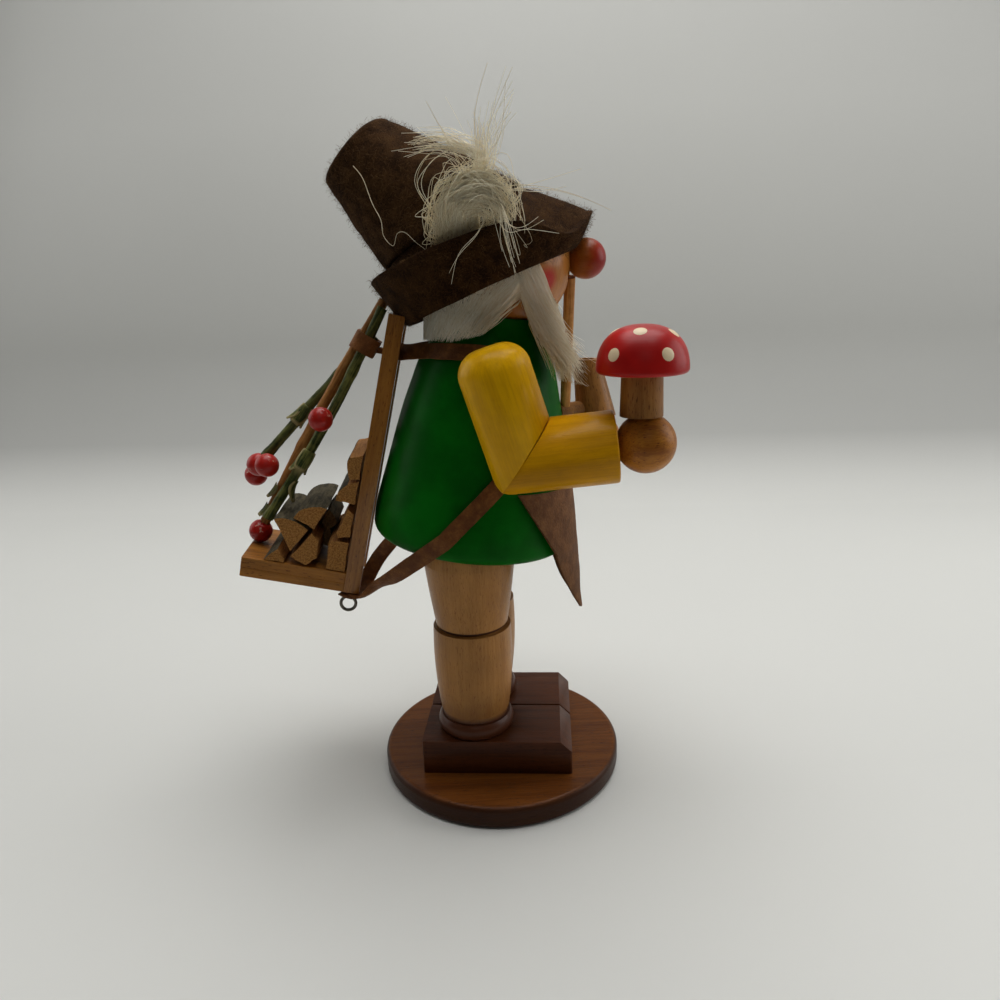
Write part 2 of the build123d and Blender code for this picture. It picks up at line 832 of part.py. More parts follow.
def fur_pad(heights, thickness, start, span):
    """Closed pad of fur lying round the figure from one angle through a span."""
    inner = [(fur_inside(height) + soft_gap, height) for height in heights]
    outer = [(fur_inside(height) + soft_gap + thickness, height) for height in reversed(heights)]
    with BuildPart() as pad:
        with BuildSketch(figure_section(start)):
            with BuildLine():
                Polyline(*inner, *outer, close=True)
            make_face()
        revolve(axis=figure_axis, revolution_arc=span)
    return pad.part


coat_levels = [height for radius, height in coat_shape if beard_low < height < coat_height]
chin_levels = [coat_height + height for inward, height in head_jaw if 0 < height < hair_high - coat_height]
hair_heights = (hair_low, coat_height - collar_height, *chin_levels, hair_high)
with BuildPart() as hair:
    add(fur_pad(hair_heights, hair_thickness, hair_from, 360 - 2 * hair_from))
    add(head_room(soft_gap), mode=Mode.SUBTRACT)
save(hair.part, "hair")

beard_heights = (beard_low, *coat_levels, *chin_levels, beard_high)
with BuildPart() as beard:
    add(fur_pad(beard_heights, beard_thickness, -beard_half_angle, 2 * beard_half_angle))
    add(head_room(soft_gap), mode=Mode.SUBTRACT)
    add(coat_room(soft_gap), mode=Mode.SUBTRACT)
    add(rod(stem_top, spur_end, stem_radius + soft_gap), mode=Mode.SUBTRACT)
save(beard.part, "beard")

# Tuft of hair stuck between the crown and the brim on the right side
with BuildPart() as hat_tuft:
    for rise, ahead, y, half_length, half_width in tuft_sections:
        with BuildSketch(Plane(origin=(crown_x + ahead, y, crown_height + rise))):
            Ellipse(half_length, half_width)
    loft()
save(hat_tuft.part, "hat_tuft")


def ribbon(stations, width, thickness):
    """Flat strap through stations of point, width direction and outward direction."""
    with BuildPart() as band:
        for point, across, outward in stations:
            with BuildSketch(Plane(origin=point, x_dir=across, z_dir=across.cross(outward))):
                Rectangle(width, thickness)
        loft(ruled=True)
    return band.part


# Leather apron hanging down the front of the coat
def apron_strip(share):
    """Height, reach, curl radius and the two half angles of the apron at a share of the way to its tip."""
    height = apron_top + share * (apron_tip - apron_top)
    top_radius = coat_radius(apron_top) + apron_top_ease
    reach = top_radius + share**apron_swing * (apron_tip_radius - top_radius)
    curl_share = max(0, (share - apron_curl_start) / (1 - apron_curl_start)) ** apron_curl_growth
    curl = reach + curl_share * (apron_curl_radius - reach)
    half_angles = []
    for fall in (apron_near_fall, apron_far_fall):
        angle = apron_tip_angle + (apron_top_angle - apron_tip_angle) * (1 - share) ** fall
        half_angles.append(angle * reach / curl)
    return height, reach, curl, half_angles


with BuildPart() as apron:
    for step in range(apron_steps + 1):
        height, reach, curl, (near_angle, far_angle) = apron_strip(step / apron_steps)
        with BuildSketch(figure_plane(height)):
            with BuildLine():
                inside = CenterArc((reach - curl, 0), curl, -near_angle, near_angle + far_angle)
                outside = CenterArc((reach - curl, 0), curl + leather, -near_angle, near_angle + far_angle)
                Line(inside @ 0, outside @ 0)
                Line(inside @ 1, outside @ 1)
            make_face()
    loft(ruled=True)
save(apron.part, "apron")

# Firewood carrier: two posts, cross slats and a floor on two arms, hung askew on the back
carrier_turn = math.radians(carrier_lean)
yaw_turn = math.radians(carrier_yaw)
carrier_forward = Vector(math.cos(yaw_turn), math.sin(yaw_turn), 0)
carrier_left = Vector(-math.sin(yaw_turn), math.cos(yaw_turn), 0)
carrier_up = carrier_forward * math.sin(carrier_turn) + Vector(0, 0, math.cos(carrier_turn))
carrier_out = carrier_left.cross(carrier_up)
carrier_origin = Vector(carrier_x, 0, carrier_height)
post_length = (post_top_height - carrier_height) / math.cos(carrier_turn)
slat_top = post_length - slat_drop
slat_heights = {"low": slat_low, "middle": (slat_low + slat_top) / 2, "top": slat_top}
post_side = (carrier_width - post_width) / 2
floor_back = -post_thickness - floor_length
floor_top = bearer_thickness + floor_thickness


def carrier_point(forward, left, up):
    """Point of the carrier, from the middle of its front lower edge."""
    return carrier_origin + carrier_out * forward + carrier_left * left + carrier_up * up


def carrier_block(forward, left, up):
    """Square block of the carrier between two limits along each of its directions."""
    middle = carrier_point(sum(forward) / 2, sum(left) / 2, up[0])
    with BuildPart() as block:
        with BuildSketch(Plane(origin=middle, x_dir=carrier_out, z_dir=carrier_up)):
            Rectangle(forward[1] - forward[0], left[1] - left[0])
        extrude(amount=up[1] - up[0])
    return block.part


eye_side = -post_side
eye_start = carrier_point(eye_forward, eye_side, -2 * leather - 4 * glue_gap)
eye_end = carrier_point(eye_forward, eye_side, eye_depth)

brim_rooms = [rod(stem_top, spur_end, stem_radius + soft_gap)]
for name, side in leg_sides:
    with BuildPart() as post:
        left = (side * post_side - post_width / 2, side * post_side + post_width / 2)
        add(carrier_block((-post_thickness, 0), left, (0, post_length)))
        room_left = (left[0] - soft_gap, left[1] + soft_gap)
        room_forward = (-post_thickness - soft_gap, soft_gap)
        brim_rooms.append(carrier_block(room_forward, room_left, (0, post_length + soft_gap)))
        if side < 0:
            hole_end = carrier_point(eye_forward, eye_side, eye_depth + glue_gap)
            add(rod(eye_start, hole_end, eye_shank_radius + glue_gap), mode=Mode.SUBTRACT)
    save(post.part, f"carrier_post_{name}")

tack_height = slat_heights["top"]
slat_front = -slat_inset


def strap_tack(side, extra=0):
    """Tack through a strap end into the top slat."""
    foot = carrier_point(slat_front - tack_length, side * tack_side, tack_height)
    neck = carrier_point(slat_front + leather + 2 * glue_gap, side * tack_side, tack_height)
    return rod(foot, neck, tack_radius + extra)


half_span = post_side - post_width / 2
slat_back = slat_front - slat_thickness
for name, height in slat_heights.items():
    with BuildPart() as slat:
        slat_up = (height - slat_width / 2, height + slat_width / 2)
        add(carrier_block((slat_back, slat_front), (-half_span, half_span), slat_up))
        if height == tack_height:
            for tack_name, side in leg_sides:
                add(strap_tack(side, glue_gap), mode=Mode.SUBTRACT)
    save(slat.part, f"carrier_slat_{name}")

for name, side in leg_sides:
    with BuildPart() as bearer:
        left = (side * post_side - post_width / 2, side * post_side + post_width / 2)
        add(carrier_block((floor_back, -post_thickness), left, (0, bearer_thickness)))
    save(bearer.part, f"carrier_bearer_{name}")

with BuildPart() as carrier_floor:
    floor_left = (-carrier_width / 2, carrier_width / 2)
    add(carrier_block((floor_back, -post_thickness), floor_left, (bearer_thickness, floor_top)))
save(carrier_floor.part, "carrier_floor")

# Split firewood: the near ends of the logs, forward and up from the carrier's front lower edge
wall = -post_thickness - log_room
log_ends = {
    "log_top": ((-13.9, 57.3), (-13, 59.4), (wall, 61.3), (wall, 50.2), (-11.5, 49.2)),
    "log_quarter": ((-16.2, 39.4), (-15.3, 44.2), (-11.9, 47.9), (wall, 49.8), (wall, 38.9)),
    "log_split": ((-12.1, 30.3), (-10.2, 37.4), (wall, 35.5), (wall, 24.3), (-12.6, 23.4), (-13.7, 25.1)),
    "log_corner": ((-15.6, floor_top), (-16.4, 21.1), (-14.9, 22.4), (wall, 22.6), (wall, floor_top)),
    "log_wide": ((-40, 27.3), (-38.1, 28.4), (-34.1, 28.8), (-24.6, 24.9), (-31, 13.8)),
    "log_round": ((-32.2, 29), (-29.2, 33.7), (-23.1, 36), (-18.3, 35.7), (-22.6, 25.2)),
    "log_wedge": ((-31.4, 11.6), (-23.4, 24.5), (-19.9, 21), (-19.4, 12.9), (-24.2, floor_top)),
    "log_chip": ((-42, floor_top), (-36.5, 14.9), (-32.6, 10.6), (-32.8, floor_top)),
    "log_back": ((-18.9, 14), (-19.7, 21.5), (-21.6, 25), (-19.2, 31.5), (-14.4, 26), (-17, 23), (-17, 14)),
}
log_set_back = {"log_back": 14}  # how far the near end lies behind the others
for name, corners in log_ends.items():
    set_back = log_set_back.get(name, 0)
    near_end = carrier_point(0, set_back - log_length / 2, 0)
    with BuildPart() as log:
        with BuildSketch(Plane(origin=near_end, x_dir=carrier_out, z_dir=-carrier_left)):
            with BuildLine():
                Polyline(*corners, close=True)
            make_face()
        extrude(amount=set_back - log_length)
    save(log.part, name)

# Twigs with red berry beads, tied to the top slat by a leather band
low_berry = carrier_point(low_berry_back, brown_left, floor_top + berry_radius + glue_gap)


def twig_end(forward, left, rise):
    """Point of a twig's top, which rises from the top slat."""
    return carrier_point(forward, left, slat_top + rise)


rod_top = twig_end(*brown_top)
near_top = twig_end(*green_near_top)
near_foot = carrier_point(*green_near_foot)
far_top = twig_end(*green_far_top)
end_berry = carrier_point(*end_berry_at)
front_berry = carrier_point(*front_berry_at)
hang_berry = carrier_point(*hang_berry_at)
near_direction = (near_foot - near_top).normalized()
bead_seat = near_top + near_direction * bead_distance
middle_berry = bead_seat - carrier_left * (berry_radius + green_radius - bead_bite)

with BuildPart() as brown_twig:
    add(rod(rod_top, low_berry, rod_radius))
save(brown_twig.part, "brown_twig")

with BuildPart() as green_twig_near:
    add(rod(near_top, near_foot, green_radius))
save(green_twig_near.part, "green_twig_near")

with BuildPart() as green_twig_far:
    add(rod(far_top, end_berry, green_radius))
save(green_twig_far.part, "green_twig_far")

with BuildPart() as berries:
    for centre in (low_berry, end_berry, front_berry, hang_berry, middle_berry):
        add(ball(centre, berry_radius))
    add(rod(rod_top, low_berry, rod_radius + glue_gap), mode=Mode.SUBTRACT)
    add(rod(near_top, near_foot, green_radius + glue_gap), mode=Mode.SUBTRACT)
    add(rod(far_top, end_berry, green_radius + glue_gap), mode=Mode.SUBTRACT)
save(berries.part, "berries")

# Brim, whose felt gives way to the posts, twigs and pipe stem that touch it
twig_past = near_direction * soft_gap
brim_rooms.append(rod(rod_top - twig_past, low_berry, rod_radius + soft_gap))
brim_rooms.append(rod(near_top - twig_past, near_foot, green_radius + soft_gap))
brim_angles = (0, 20, 40, 60, 80, 100, 120, 140, 160, 180)
with BuildPart() as hat_brim:
    for angle in brim_angles:
        turn = math.radians(angle)
        outward = (math.cos(turn), -math.sin(turn), 0)
        side_face = Plane(origin=(0, 0, 0), x_dir=outward, z_dir=(-math.sin(turn), -math.cos(turn), 0))
        with BuildSketch(side_face):
            with BuildLine():
                Polyline(*brim_section(angle), close=True)
            make_face()
    loft(ruled=True)
    mirror(about=Plane.XZ)
    for room in brim_rooms:
        add(room, mode=Mode.SUBTRACT)
save(hat_brim.part, "hat_brim")

band_middle = carrier_point(band_back, band_left, slat_top)
band_plane = Plane(origin=band_middle, x_dir=carrier_left, z_dir=near_direction)
band_front = band_plane.y_dir * (band_deep / 2 + leather / 2)
band_front = band_front if band_front.dot(carrier_out) > 0 else -band_front
tie_back = (band_middle + band_front - carrier_origin).dot(carrier_out)
tie_low = (band_middle + band_front - carrier_origin).dot(carrier_up) - tie_height / 2
tie_left = (band_left - tie_width / 2, band_left + tie_width / 2)
with BuildPart() as twig_band:
    with BuildSketch(band_plane.offset(-band_width / 2)):
        RectangleRounded(band_long + 2 * leather, band_deep + 2 * leather, band_deep / 2)
        RectangleRounded(band_long, band_deep, band_deep / 2 - leather / 10, mode=Mode.SUBTRACT)
    extrude(amount=band_width)
    add(carrier_block((tie_back, slat_back - glue_gap), tie_left, (tie_low, tie_low + tie_height)))
save(twig_band.part, "twig_band")

# Screw eye under the right post, with both strap ends on its shank
ring_middle = eye_start - carrier_up * (eye_ring_radius + eye_wire_radius)
with BuildPart() as screw_eye:
    with BuildSketch(Plane(origin=ring_middle, x_dir=carrier_out, z_dir=carrier_up)):
        with Locations((eye_ring_radius, 0)):
            Circle(eye_wire_radius)
    revolve(axis=Axis(ring_middle, carrier_left))
    add(rod(ring_middle + carrier_up * eye_ring_radius, eye_end, eye_shank_radius))
save(screw_eye.part, "screw_eye")

with BuildPart() as strap_tacks:
    for name, side in leg_sides:
        add(strap_tack(side))
        head_foot = carrier_point(slat_front + leather + 2 * glue_gap, side * tack_side, tack_height)
        add(rod(head_foot, head_foot + carrier_out * tack_head_thickness, tack_head_radius))
save(strap_tacks.part, "strap_tacks")

# Shoulder straps: from the top slat over the shoulder, down the chest, under the arm to the eye
def strap_stations(side, chest, free_points, end_layer):
    """Points, width directions and outward directions of one strap from the slat to the eye."""
    start = slat_front + leather / 2 + glue_gap
    path = [carrier_point(start, side * left, tack_height) for left in (strap_first, strap_leave)]
    outward = [-carrier_out, -carrier_out]
    for share, angle in chest:
        height = share * coat_height
        turn = math.radians(side * angle)
        radial = figure_front * math.cos(turn) + Vector(0, math.sin(turn), 0)
        slope = (coat_radius(height + strap_width / 2) - coat_radius(height - strap_width / 2)) / strap_width
        facing = (radial - figure_up * slope).normalized()
        path.append(figure_point(height, coat_radius(height), side * angle) + facing * strap_lift)
        outward.append(facing)
    for point, facing in free_points:
        path.append(carrier_point(eye_forward, eye_side, -leather / 2) + Vector(*point))
        outward.append(Vector(*facing).normalized())
    tab = -(end_layer - 0.5) * leather - end_layer * glue_gap
    arrival = (path[-1] - carrier_point(eye_forward, eye_side, tab))
    arrival = (arrival - carrier_up * arrival.dot(carrier_up)).normalized()
    for distance in (tab_start, 0, -tab_end):
        path.append(carrier_point(eye_forward, eye_side, tab) + arrival * distance)
        outward.append(-carrier_up)
    stations = []
    for index, point in enumerate(path):
        before = path[max(index - 1, 0)]
        after = path[min(index + 1, len(path) - 1)]
        tangent = (after - before).normalized()
        across = outward[index].cross(tangent).normalized()
        stations.append((point, across, tangent.cross(across).normalized()))
    return stations


straps = (
    ("right", -1, strap_over + strap_under_right, strap_free_right, 1),
    ("left", 1, strap_over + strap_under_left, strap_free_left, 2),
)
strap_rooms = {}
for (name, side, chest, free_points, layer), (arm_name, arm_side, elbow, shoulder, hand) in zip(straps, arms):
    stations = strap_stations(side, chest, free_points, layer)
    with BuildPart() as strap:
        add(ribbon(stations, strap_width, leather))
        add(rod(eye_start - carrier_up * leather, eye_end, eye_shank_radius + glue_gap), mode=Mode.SUBTRACT)
        add(strap_tack(side, glue_gap), mode=Mode.SUBTRACT)
        add(shoulder_dowel(side, elbow, shoulder, glue_gap), mode=Mode.SUBTRACT)
    save(strap.part, f"strap_{name}")
    # Room under the arm where the strap lies on the coat, with a gap over the leather
    lying = stations[2:2 + len(chest)]
    deep = [(point - outward * strap_lift, across, outward) for point, across, outward in lying]
    room_height = 2 * (strap_lift + leather / 2 + soft_gap)
    strap_rooms[name] = ribbon(deep, strap_width + 2 * soft_gap, room_height)

# Arms: mitred rods with ball hands, dowelled to the coat over the straps
arm_seat = coat_room(glue_gap)
hand_pegs = []

for name, side, elbow, shoulder, hand in arms:
    up, out, mitre = arm_frame(elbow, shoulder, hand)
    reach = (hand - elbow).length - hand_flat
    run_past = 1.5 * arm_radius
    with BuildPart() as elbow_dowel:
        add(rod(elbow - mitre.z_dir * peg_depth, elbow + mitre.z_dir * peg_depth, peg_radius))
    with BuildPart() as elbow_hole:
        start = elbow - mitre.z_dir * (peg_depth + glue_gap)
        end = elbow + mitre.z_dir * (peg_depth + glue_gap)
        add(rod(start, end, peg_radius + glue_gap))
    with BuildPart() as wrist_peg:
        wrist = hand - out * hand_flat
        add(rod(wrist - out * peg_depth, wrist + out * peg_depth, peg_radius))
    with BuildPart() as wrist_hole:
        start = wrist - out * (peg_depth + glue_gap)
        end = wrist + out * (peg_depth + glue_gap)
        add(rod(start, end, peg_radius + glue_gap))

    with BuildPart() as upper_arm:
        with BuildSketch(Plane(origin=elbow - up * run_past, z_dir=up)):
            Circle(arm_radius)
        extrude(amount=(shoulder - elbow).length + run_past)
        fillet(upper_arm.edges().sort_by(Axis(elbow, up))[-1], shoulder_round)
        split(bisect_by=mitre, keep=Keep.TOP)
        add(arm_seat, mode=Mode.SUBTRACT)
        add(strap_rooms[name], mode=Mode.SUBTRACT)
        add(shoulder_dowel(side, elbow, shoulder, glue_gap), mode=Mode.SUBTRACT)
        add(elbow_hole.part, mode=Mode.SUBTRACT)
    save(upper_arm.part, f"upper_arm_{name}")

    with BuildPart() as forearm:
        with BuildSketch(Plane(origin=elbow - out * run_past, z_dir=out)):
            Circle(arm_radius)
        extrude(amount=reach + run_past)
        split(bisect_by=mitre, keep=Keep.BOTTOM)
        add(arm_seat, mode=Mode.SUBTRACT)
        add(strap_rooms[name], mode=Mode.SUBTRACT)
        add(elbow_hole.part, mode=Mode.SUBTRACT)
        add(wrist_hole.part, mode=Mode.SUBTRACT)
    save(forearm.part, f"forearm_{name}")

    with BuildPart() as palm:
        add(ball(hand, hand_radius))
        split(bisect_by=Plane(origin=hand - out * hand_flat, z_dir=out), keep=Keep.TOP)
        split(bisect_by=Plane(origin=hand + Vector(0, 0, hand_seat)), keep=Keep.BOTTOM)
        add(wrist_hole.part, mode=Mode.SUBTRACT)
        with BuildSketch(Plane(origin=palm_seat(side, hand))):
            Circle(peg_radius + glue_gap)
        extrude(amount=-peg_depth - glue_gap, mode=Mode.SUBTRACT)
    save(palm.part, f"hand_{name}")
    hand_pegs.append((elbow_dowel.part, wrist_peg.part))

with BuildPart() as shoulder_dowels:
    for name, side, elbow, shoulder, hand in arms:
        add(shoulder_dowel(side, elbow, shoulder))
save(shoulder_dowels.part, "shoulder_dowels")

with BuildPart() as elbow_dowels:
    for elbow_pin, wrist_pin in hand_pegs:
        add(elbow_pin)
save(elbow_dowels.part, "elbow_dowels")

with BuildPart() as wrist_pegs:
    for elbow_pin, wrist_pin in hand_pegs:
        add(wrist_pin)
save(wrist_pegs.part, "wrist_pegs")

with BuildPart() as palm_pegs:
    for name, side, elbow, shoulder, hand in arms:
        with BuildSketch(Plane(origin=palm_seat(side, hand) - Vector(0, 0, peg_depth))):
            Circle(peg_radius)
        extrude(amount=2 * peg_depth)
save(palm_pegs.part, "palm_pegs")
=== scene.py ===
# %% [markdown]
# # An incense smoker: the old mushroom gatherer
# The real object is a turned wooden figure, about 28 cm tall. The hollow coat lifts off a plug on the
# legs, and a cone of incense burns inside it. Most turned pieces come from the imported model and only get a
# finish here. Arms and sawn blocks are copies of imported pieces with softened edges. Felt, fur, leather,
# firewood and twigs are modelled as meshes that stand for plain solids.

# %% The frame
import json
import math
import random

import bmesh
import bpy
from mathutils import Matrix, Vector, noise
from mathutils.bvhtree import BVHTree


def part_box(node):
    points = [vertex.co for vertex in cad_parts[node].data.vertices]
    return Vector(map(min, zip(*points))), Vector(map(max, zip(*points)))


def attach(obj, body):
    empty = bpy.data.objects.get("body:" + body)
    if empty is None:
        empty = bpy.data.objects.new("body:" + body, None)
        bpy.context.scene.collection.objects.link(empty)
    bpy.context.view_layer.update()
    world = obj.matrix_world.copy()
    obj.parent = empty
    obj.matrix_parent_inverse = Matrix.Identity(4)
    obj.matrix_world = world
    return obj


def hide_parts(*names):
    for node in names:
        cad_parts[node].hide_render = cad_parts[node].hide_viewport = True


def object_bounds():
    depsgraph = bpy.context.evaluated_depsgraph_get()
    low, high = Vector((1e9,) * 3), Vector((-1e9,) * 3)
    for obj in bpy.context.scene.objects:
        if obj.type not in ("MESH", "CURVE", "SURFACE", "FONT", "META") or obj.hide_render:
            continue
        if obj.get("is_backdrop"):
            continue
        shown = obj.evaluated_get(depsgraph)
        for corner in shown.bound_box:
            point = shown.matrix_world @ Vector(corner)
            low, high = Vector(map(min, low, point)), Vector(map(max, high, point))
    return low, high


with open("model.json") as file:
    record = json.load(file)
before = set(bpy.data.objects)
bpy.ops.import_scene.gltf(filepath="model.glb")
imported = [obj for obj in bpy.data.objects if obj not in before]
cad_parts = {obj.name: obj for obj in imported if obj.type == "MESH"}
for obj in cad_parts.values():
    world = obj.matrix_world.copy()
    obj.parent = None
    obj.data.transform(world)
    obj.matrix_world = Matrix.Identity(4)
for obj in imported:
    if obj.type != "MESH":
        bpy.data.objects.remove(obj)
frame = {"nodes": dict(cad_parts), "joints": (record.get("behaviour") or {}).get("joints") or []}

MM = 0.001
cad_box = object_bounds()
nodes = frame["nodes"]
scene = bpy.context.scene

# %% [markdown]
# ## Camera
# The photograph was taken from the figure's right, a little above the hands, with a wide lens close by.
# Its place was worked out from the base disc's ellipse and from the upright pieces. A slight roll is kept.

# %% Camera
LENS = 27.04
SENSOR = 36
CAMERA_AT = Vector((24.3, -317.3, 217.6)) * MM
CAMERA_PITCH = math.radians(15.87)
CAMERA_TURN = math.radians(3.85)
CAMERA_ROLL = math.radians(1.905)


def photo_axes():
    """Right, up and forward of the camera, with its roll."""
    turn_sin, turn_cos = math.sin(CAMERA_TURN), math.cos(CAMERA_TURN)
    pitch_sin, pitch_cos = math.sin(CAMERA_PITCH), math.cos(CAMERA_PITCH)
    forward = Vector((-turn_sin * pitch_cos, turn_cos * pitch_cos, -pitch_sin))
    level = Vector((turn_cos, turn_sin, 0))
    above = level.cross(forward)
    right = level * math.cos(CAMERA_ROLL) - above * math.sin(CAMERA_ROLL)
    up = level * math.sin(CAMERA_ROLL) + above * math.cos(CAMERA_ROLL)
    return right, up, forward


camera_right, camera_up, camera_forward = photo_axes()
camera_data = bpy.data.cameras.new("photo_camera")
camera_data.lens = LENS
camera_data.sensor_width = SENSOR
camera_data.clip_start = 0.01
camera = bpy.data.objects.new("photo_camera", camera_data)
turn_matrix = Matrix((camera_right, camera_up, -camera_forward)).transposed().to_4x4()
camera.matrix_world = Matrix.Translation(CAMERA_AT) @ turn_matrix
scene.collection.objects.link(camera)
scene.camera = camera
print("camera at", tuple(round(value, 3) for value in camera.location))

# %% [markdown]
# ## Floor and light
# A pale sweep runs from the floor up the wall without a corner. Large lamps above, behind and at both sides
# stand for the white walls of a light tent. The camera's side stays darker, as it does in the photograph.

# %% Floor and light
FLOOR_FRONT = -0.5
FLOOR_BACK = 0.42
SWEEP_ROUND = 0.16
WALL_TOP = 1.5
HALF_FLOOR = 1.9
SWEEP_STEPS = 16
PAPER_GREYS = (0.60, 0.64)
PAPER_BLUE = 0.95
# Painted light and shade: axis that a change of tone follows, where it starts and ends, and its factor at both
# places
PAPER_PAINTED_LIGHT = [("Z", 0.0, 0.05, 1.0, 0.65), ("Z", 0.08, 0.4, 1.0, 1.28), ("Y", -0.32, 0.0, 1.16, 0.97)]
FIGURE_MIDDLE = (0, 0, 0.14)
SHINE = 0.16


def node(tree, kind, inputs=None, **settings):
    """Adds a node, sets what it is, and gives each input a value or a link."""
    made = tree.nodes.new(kind)
    for key, value in settings.items():
        setattr(made, key, value)
    for key, value in (inputs or {}).items():
        if isinstance(value, bpy.types.NodeSocket):
            tree.links.new(value, made.inputs[key])
        else:
            made.inputs[key].default_value = value
    return made


def object_place(tree):
    """Coordinates of the piece itself, in metres."""
    return node(tree, "ShaderNodeTexCoord").outputs["Object"]


def new_material(name, roughness, shine=SHINE):
    """Material with one Principled shader."""
    material = bpy.data.materials.new(name)
    material.use_nodes = True
    tree = material.node_tree
    tree.nodes.clear()
    end = tree.nodes.new("ShaderNodeOutputMaterial")
    shader = node(tree, "ShaderNodeBsdfPrincipled", {"Roughness": roughness, "Specular IOR Level": shine})
    tree.links.new(shader.outputs["BSDF"], end.inputs["Surface"])
    return material, tree, shader


def paper_finish():
    """Pale paper with painted shade just above the floor, and painted light high on the wall and near the
    camera.
    """
    paper, tree, shader = new_material("pale_paper", 0.7)
    place = object_place(tree)
    cloud = node(tree, "ShaderNodeTexNoise", {"Vector": place, "Scale": 3.0, "Detail": 2.0}).outputs["Fac"]
    low_grey, high_grey = PAPER_GREYS
    greys = {"Value": cloud, "To Min": low_grey, "To Max": high_grey}
    tone = node(tree, "ShaderNodeMapRange", greys).outputs["Result"]
    axes = node(tree, "ShaderNodeSeparateXYZ", {0: place}).outputs
    # Each factor is painted light or shade laid over the paper's own grey
    for axis, start, end, at_start, at_end in PAPER_PAINTED_LIGHT:
        inputs = {"Value": axes[axis], 1: start, 2: end, 3: at_start, 4: at_end}
        factor = node(tree, "ShaderNodeMapRange", inputs).outputs["Result"]
        tone = node(tree, "ShaderNodeMath", {0: tone, 1: factor}, operation="MULTIPLY").outputs["Value"]
    blue = node(tree, "ShaderNodeMath", {0: tone, 1: PAPER_BLUE}, operation="MULTIPLY").outputs["Value"]
    grey = node(tree, "ShaderNodeCombineColor", {"Red": tone, "Green": tone, "Blue": blue}).outputs["Color"]
    tree.links.new(grey, shader.inputs["Base Color"])
    return paper


def floor_sweep():
    """Floor, quarter round and wall as one smooth sheet."""
    line = [(FLOOR_FRONT, 0), (FLOOR_BACK, 0)]
    for step in range(1, SWEEP_STEPS + 1):
        turn = math.pi / 2 * step / SWEEP_STEPS
        line.append((FLOOR_BACK + SWEEP_ROUND * math.sin(turn), SWEEP_ROUND * (1 - math.cos(turn))))
    line.append((FLOOR_BACK + SWEEP_ROUND, WALL_TOP))
    points = [(x, y, z) for y, z in line for x in (-HALF_FLOOR, HALF_FLOOR)]
    faces = [(2 * i, 2 * i + 1, 2 * i + 3, 2 * i + 2) for i in range(len(line) - 1)]
    mesh = bpy.data.meshes.new("floor_sweep")
    mesh.from_pydata(points, [], faces)
    mesh.shade_smooth()
    sweep = bpy.data.objects.new("floor_sweep", mesh)
    scene.collection.objects.link(sweep)
    mesh.materials.append(paper_finish())
    sweep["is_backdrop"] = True


def soft_light(name, place, target, size, power):
    """Square area lamp that looks at a point."""
    data = bpy.data.lights.new(name, "AREA")
    data.size = size
    data.energy = power
    lamp = bpy.data.objects.new(name, data)
    lamp.location = place
    lamp.rotation_euler = (Vector(target) - Vector(place)).to_track_quat("-Z", "Y").to_euler()
    scene.collection.objects.link(lamp)


floor_sweep()
soft_light("tent_top", (0.03, 0.12, 0.95), (0, -0.02, 0), 0.8, 8.7)
soft_light("tent_left", (-0.75, 0.22, 0.42), FIGURE_MIDDLE, 0.6, 1.4)
soft_light("tent_right", (0.8, 0.12, 0.42), FIGURE_MIDDLE, 0.6, 2.6)
soft_light("tent_front", (0.1, -1.1, 0.9), (0, -0.25, 0), 0.6, 0.5)
world = bpy.data.worlds.new("tent_air")
world.use_nodes = True
air = world.node_tree.nodes["Background"].inputs
air["Color"].default_value = (0.82, 0.83, 0.80, 1)
air["Strength"].default_value = 0.035
scene.world = world
scene.view_settings.view_transform = "Standard"
print("stage and lamps ready")

# %% [markdown]
# ## Shared finishes
# Several materials need the same effects: wood grain that runs along a piece, fine ridges from the lathe,
# leather pores, and a slow unevenness of colour. Each is a shader group with named inputs, built once.
# The Principled shader stays in the material, so that other programs can read it.

# %% Node helpers


def shader_group(name, inputs, outputs):
    """Empty shader group with named sockets."""
    tree = bpy.data.node_groups.new(name, "ShaderNodeTree")
    for label, kind, value in inputs:
        socket = tree.interface.new_socket(label, in_out="INPUT", socket_type=kind)
        if value is not None:
            socket.default_value = value
    for label, kind in outputs:
        tree.interface.new_socket(label, in_out="OUTPUT", socket_type=kind)
    start = tree.nodes.new("NodeGroupInput")
    end = tree.nodes.new("NodeGroupOutput")
    return tree, start.outputs, end.inputs


def calc(tree, operation, first, second=0.0):
    """One step of arithmetic."""
    return node(tree, "ShaderNodeMath", {0: first, 1: second}, operation=operation).outputs["Value"]


def weighed(tree, first, weight, second, other_weight):
    """Sum of two values by their weights."""
    first_share = calc(tree, "MULTIPLY", first, weight)
    second_share = calc(tree, "MULTIPLY", second, other_weight)
    return calc(tree, "ADD", first_share, second_share)


def noted_value(tree, name):
    """Number that was written on the points or faces of a piece."""
    return node(tree, "ShaderNodeAttribute", attribute_name=name).outputs["Fac"]


def stretch(tree, vector, factors):
    """Coordinates multiplied along each axis."""
    return node(tree, "ShaderNodeVectorMath", {0: vector, 1: factors}, operation="MULTIPLY").outputs["Vector"]


def remap(tree, value, low, high, new_low=0.0, new_high=1.0):
    """Value moved smoothly from one range to another, and held at its ends."""
    inputs = {"Value": value, 1: low, 2: high, 3: new_low, 4: new_high}
    return node(tree, "ShaderNodeMapRange", inputs, interpolation_type="SMOOTHSTEP").outputs["Result"]


def mix_colours(tree, share, first, second, blend="MIX"):
    """Two colours mixed by a share."""
    made = node(tree, "ShaderNodeMix", {0: share, 6: first, 7: second}, data_type="RGBA", blend_type=blend)
    return made.outputs[2]


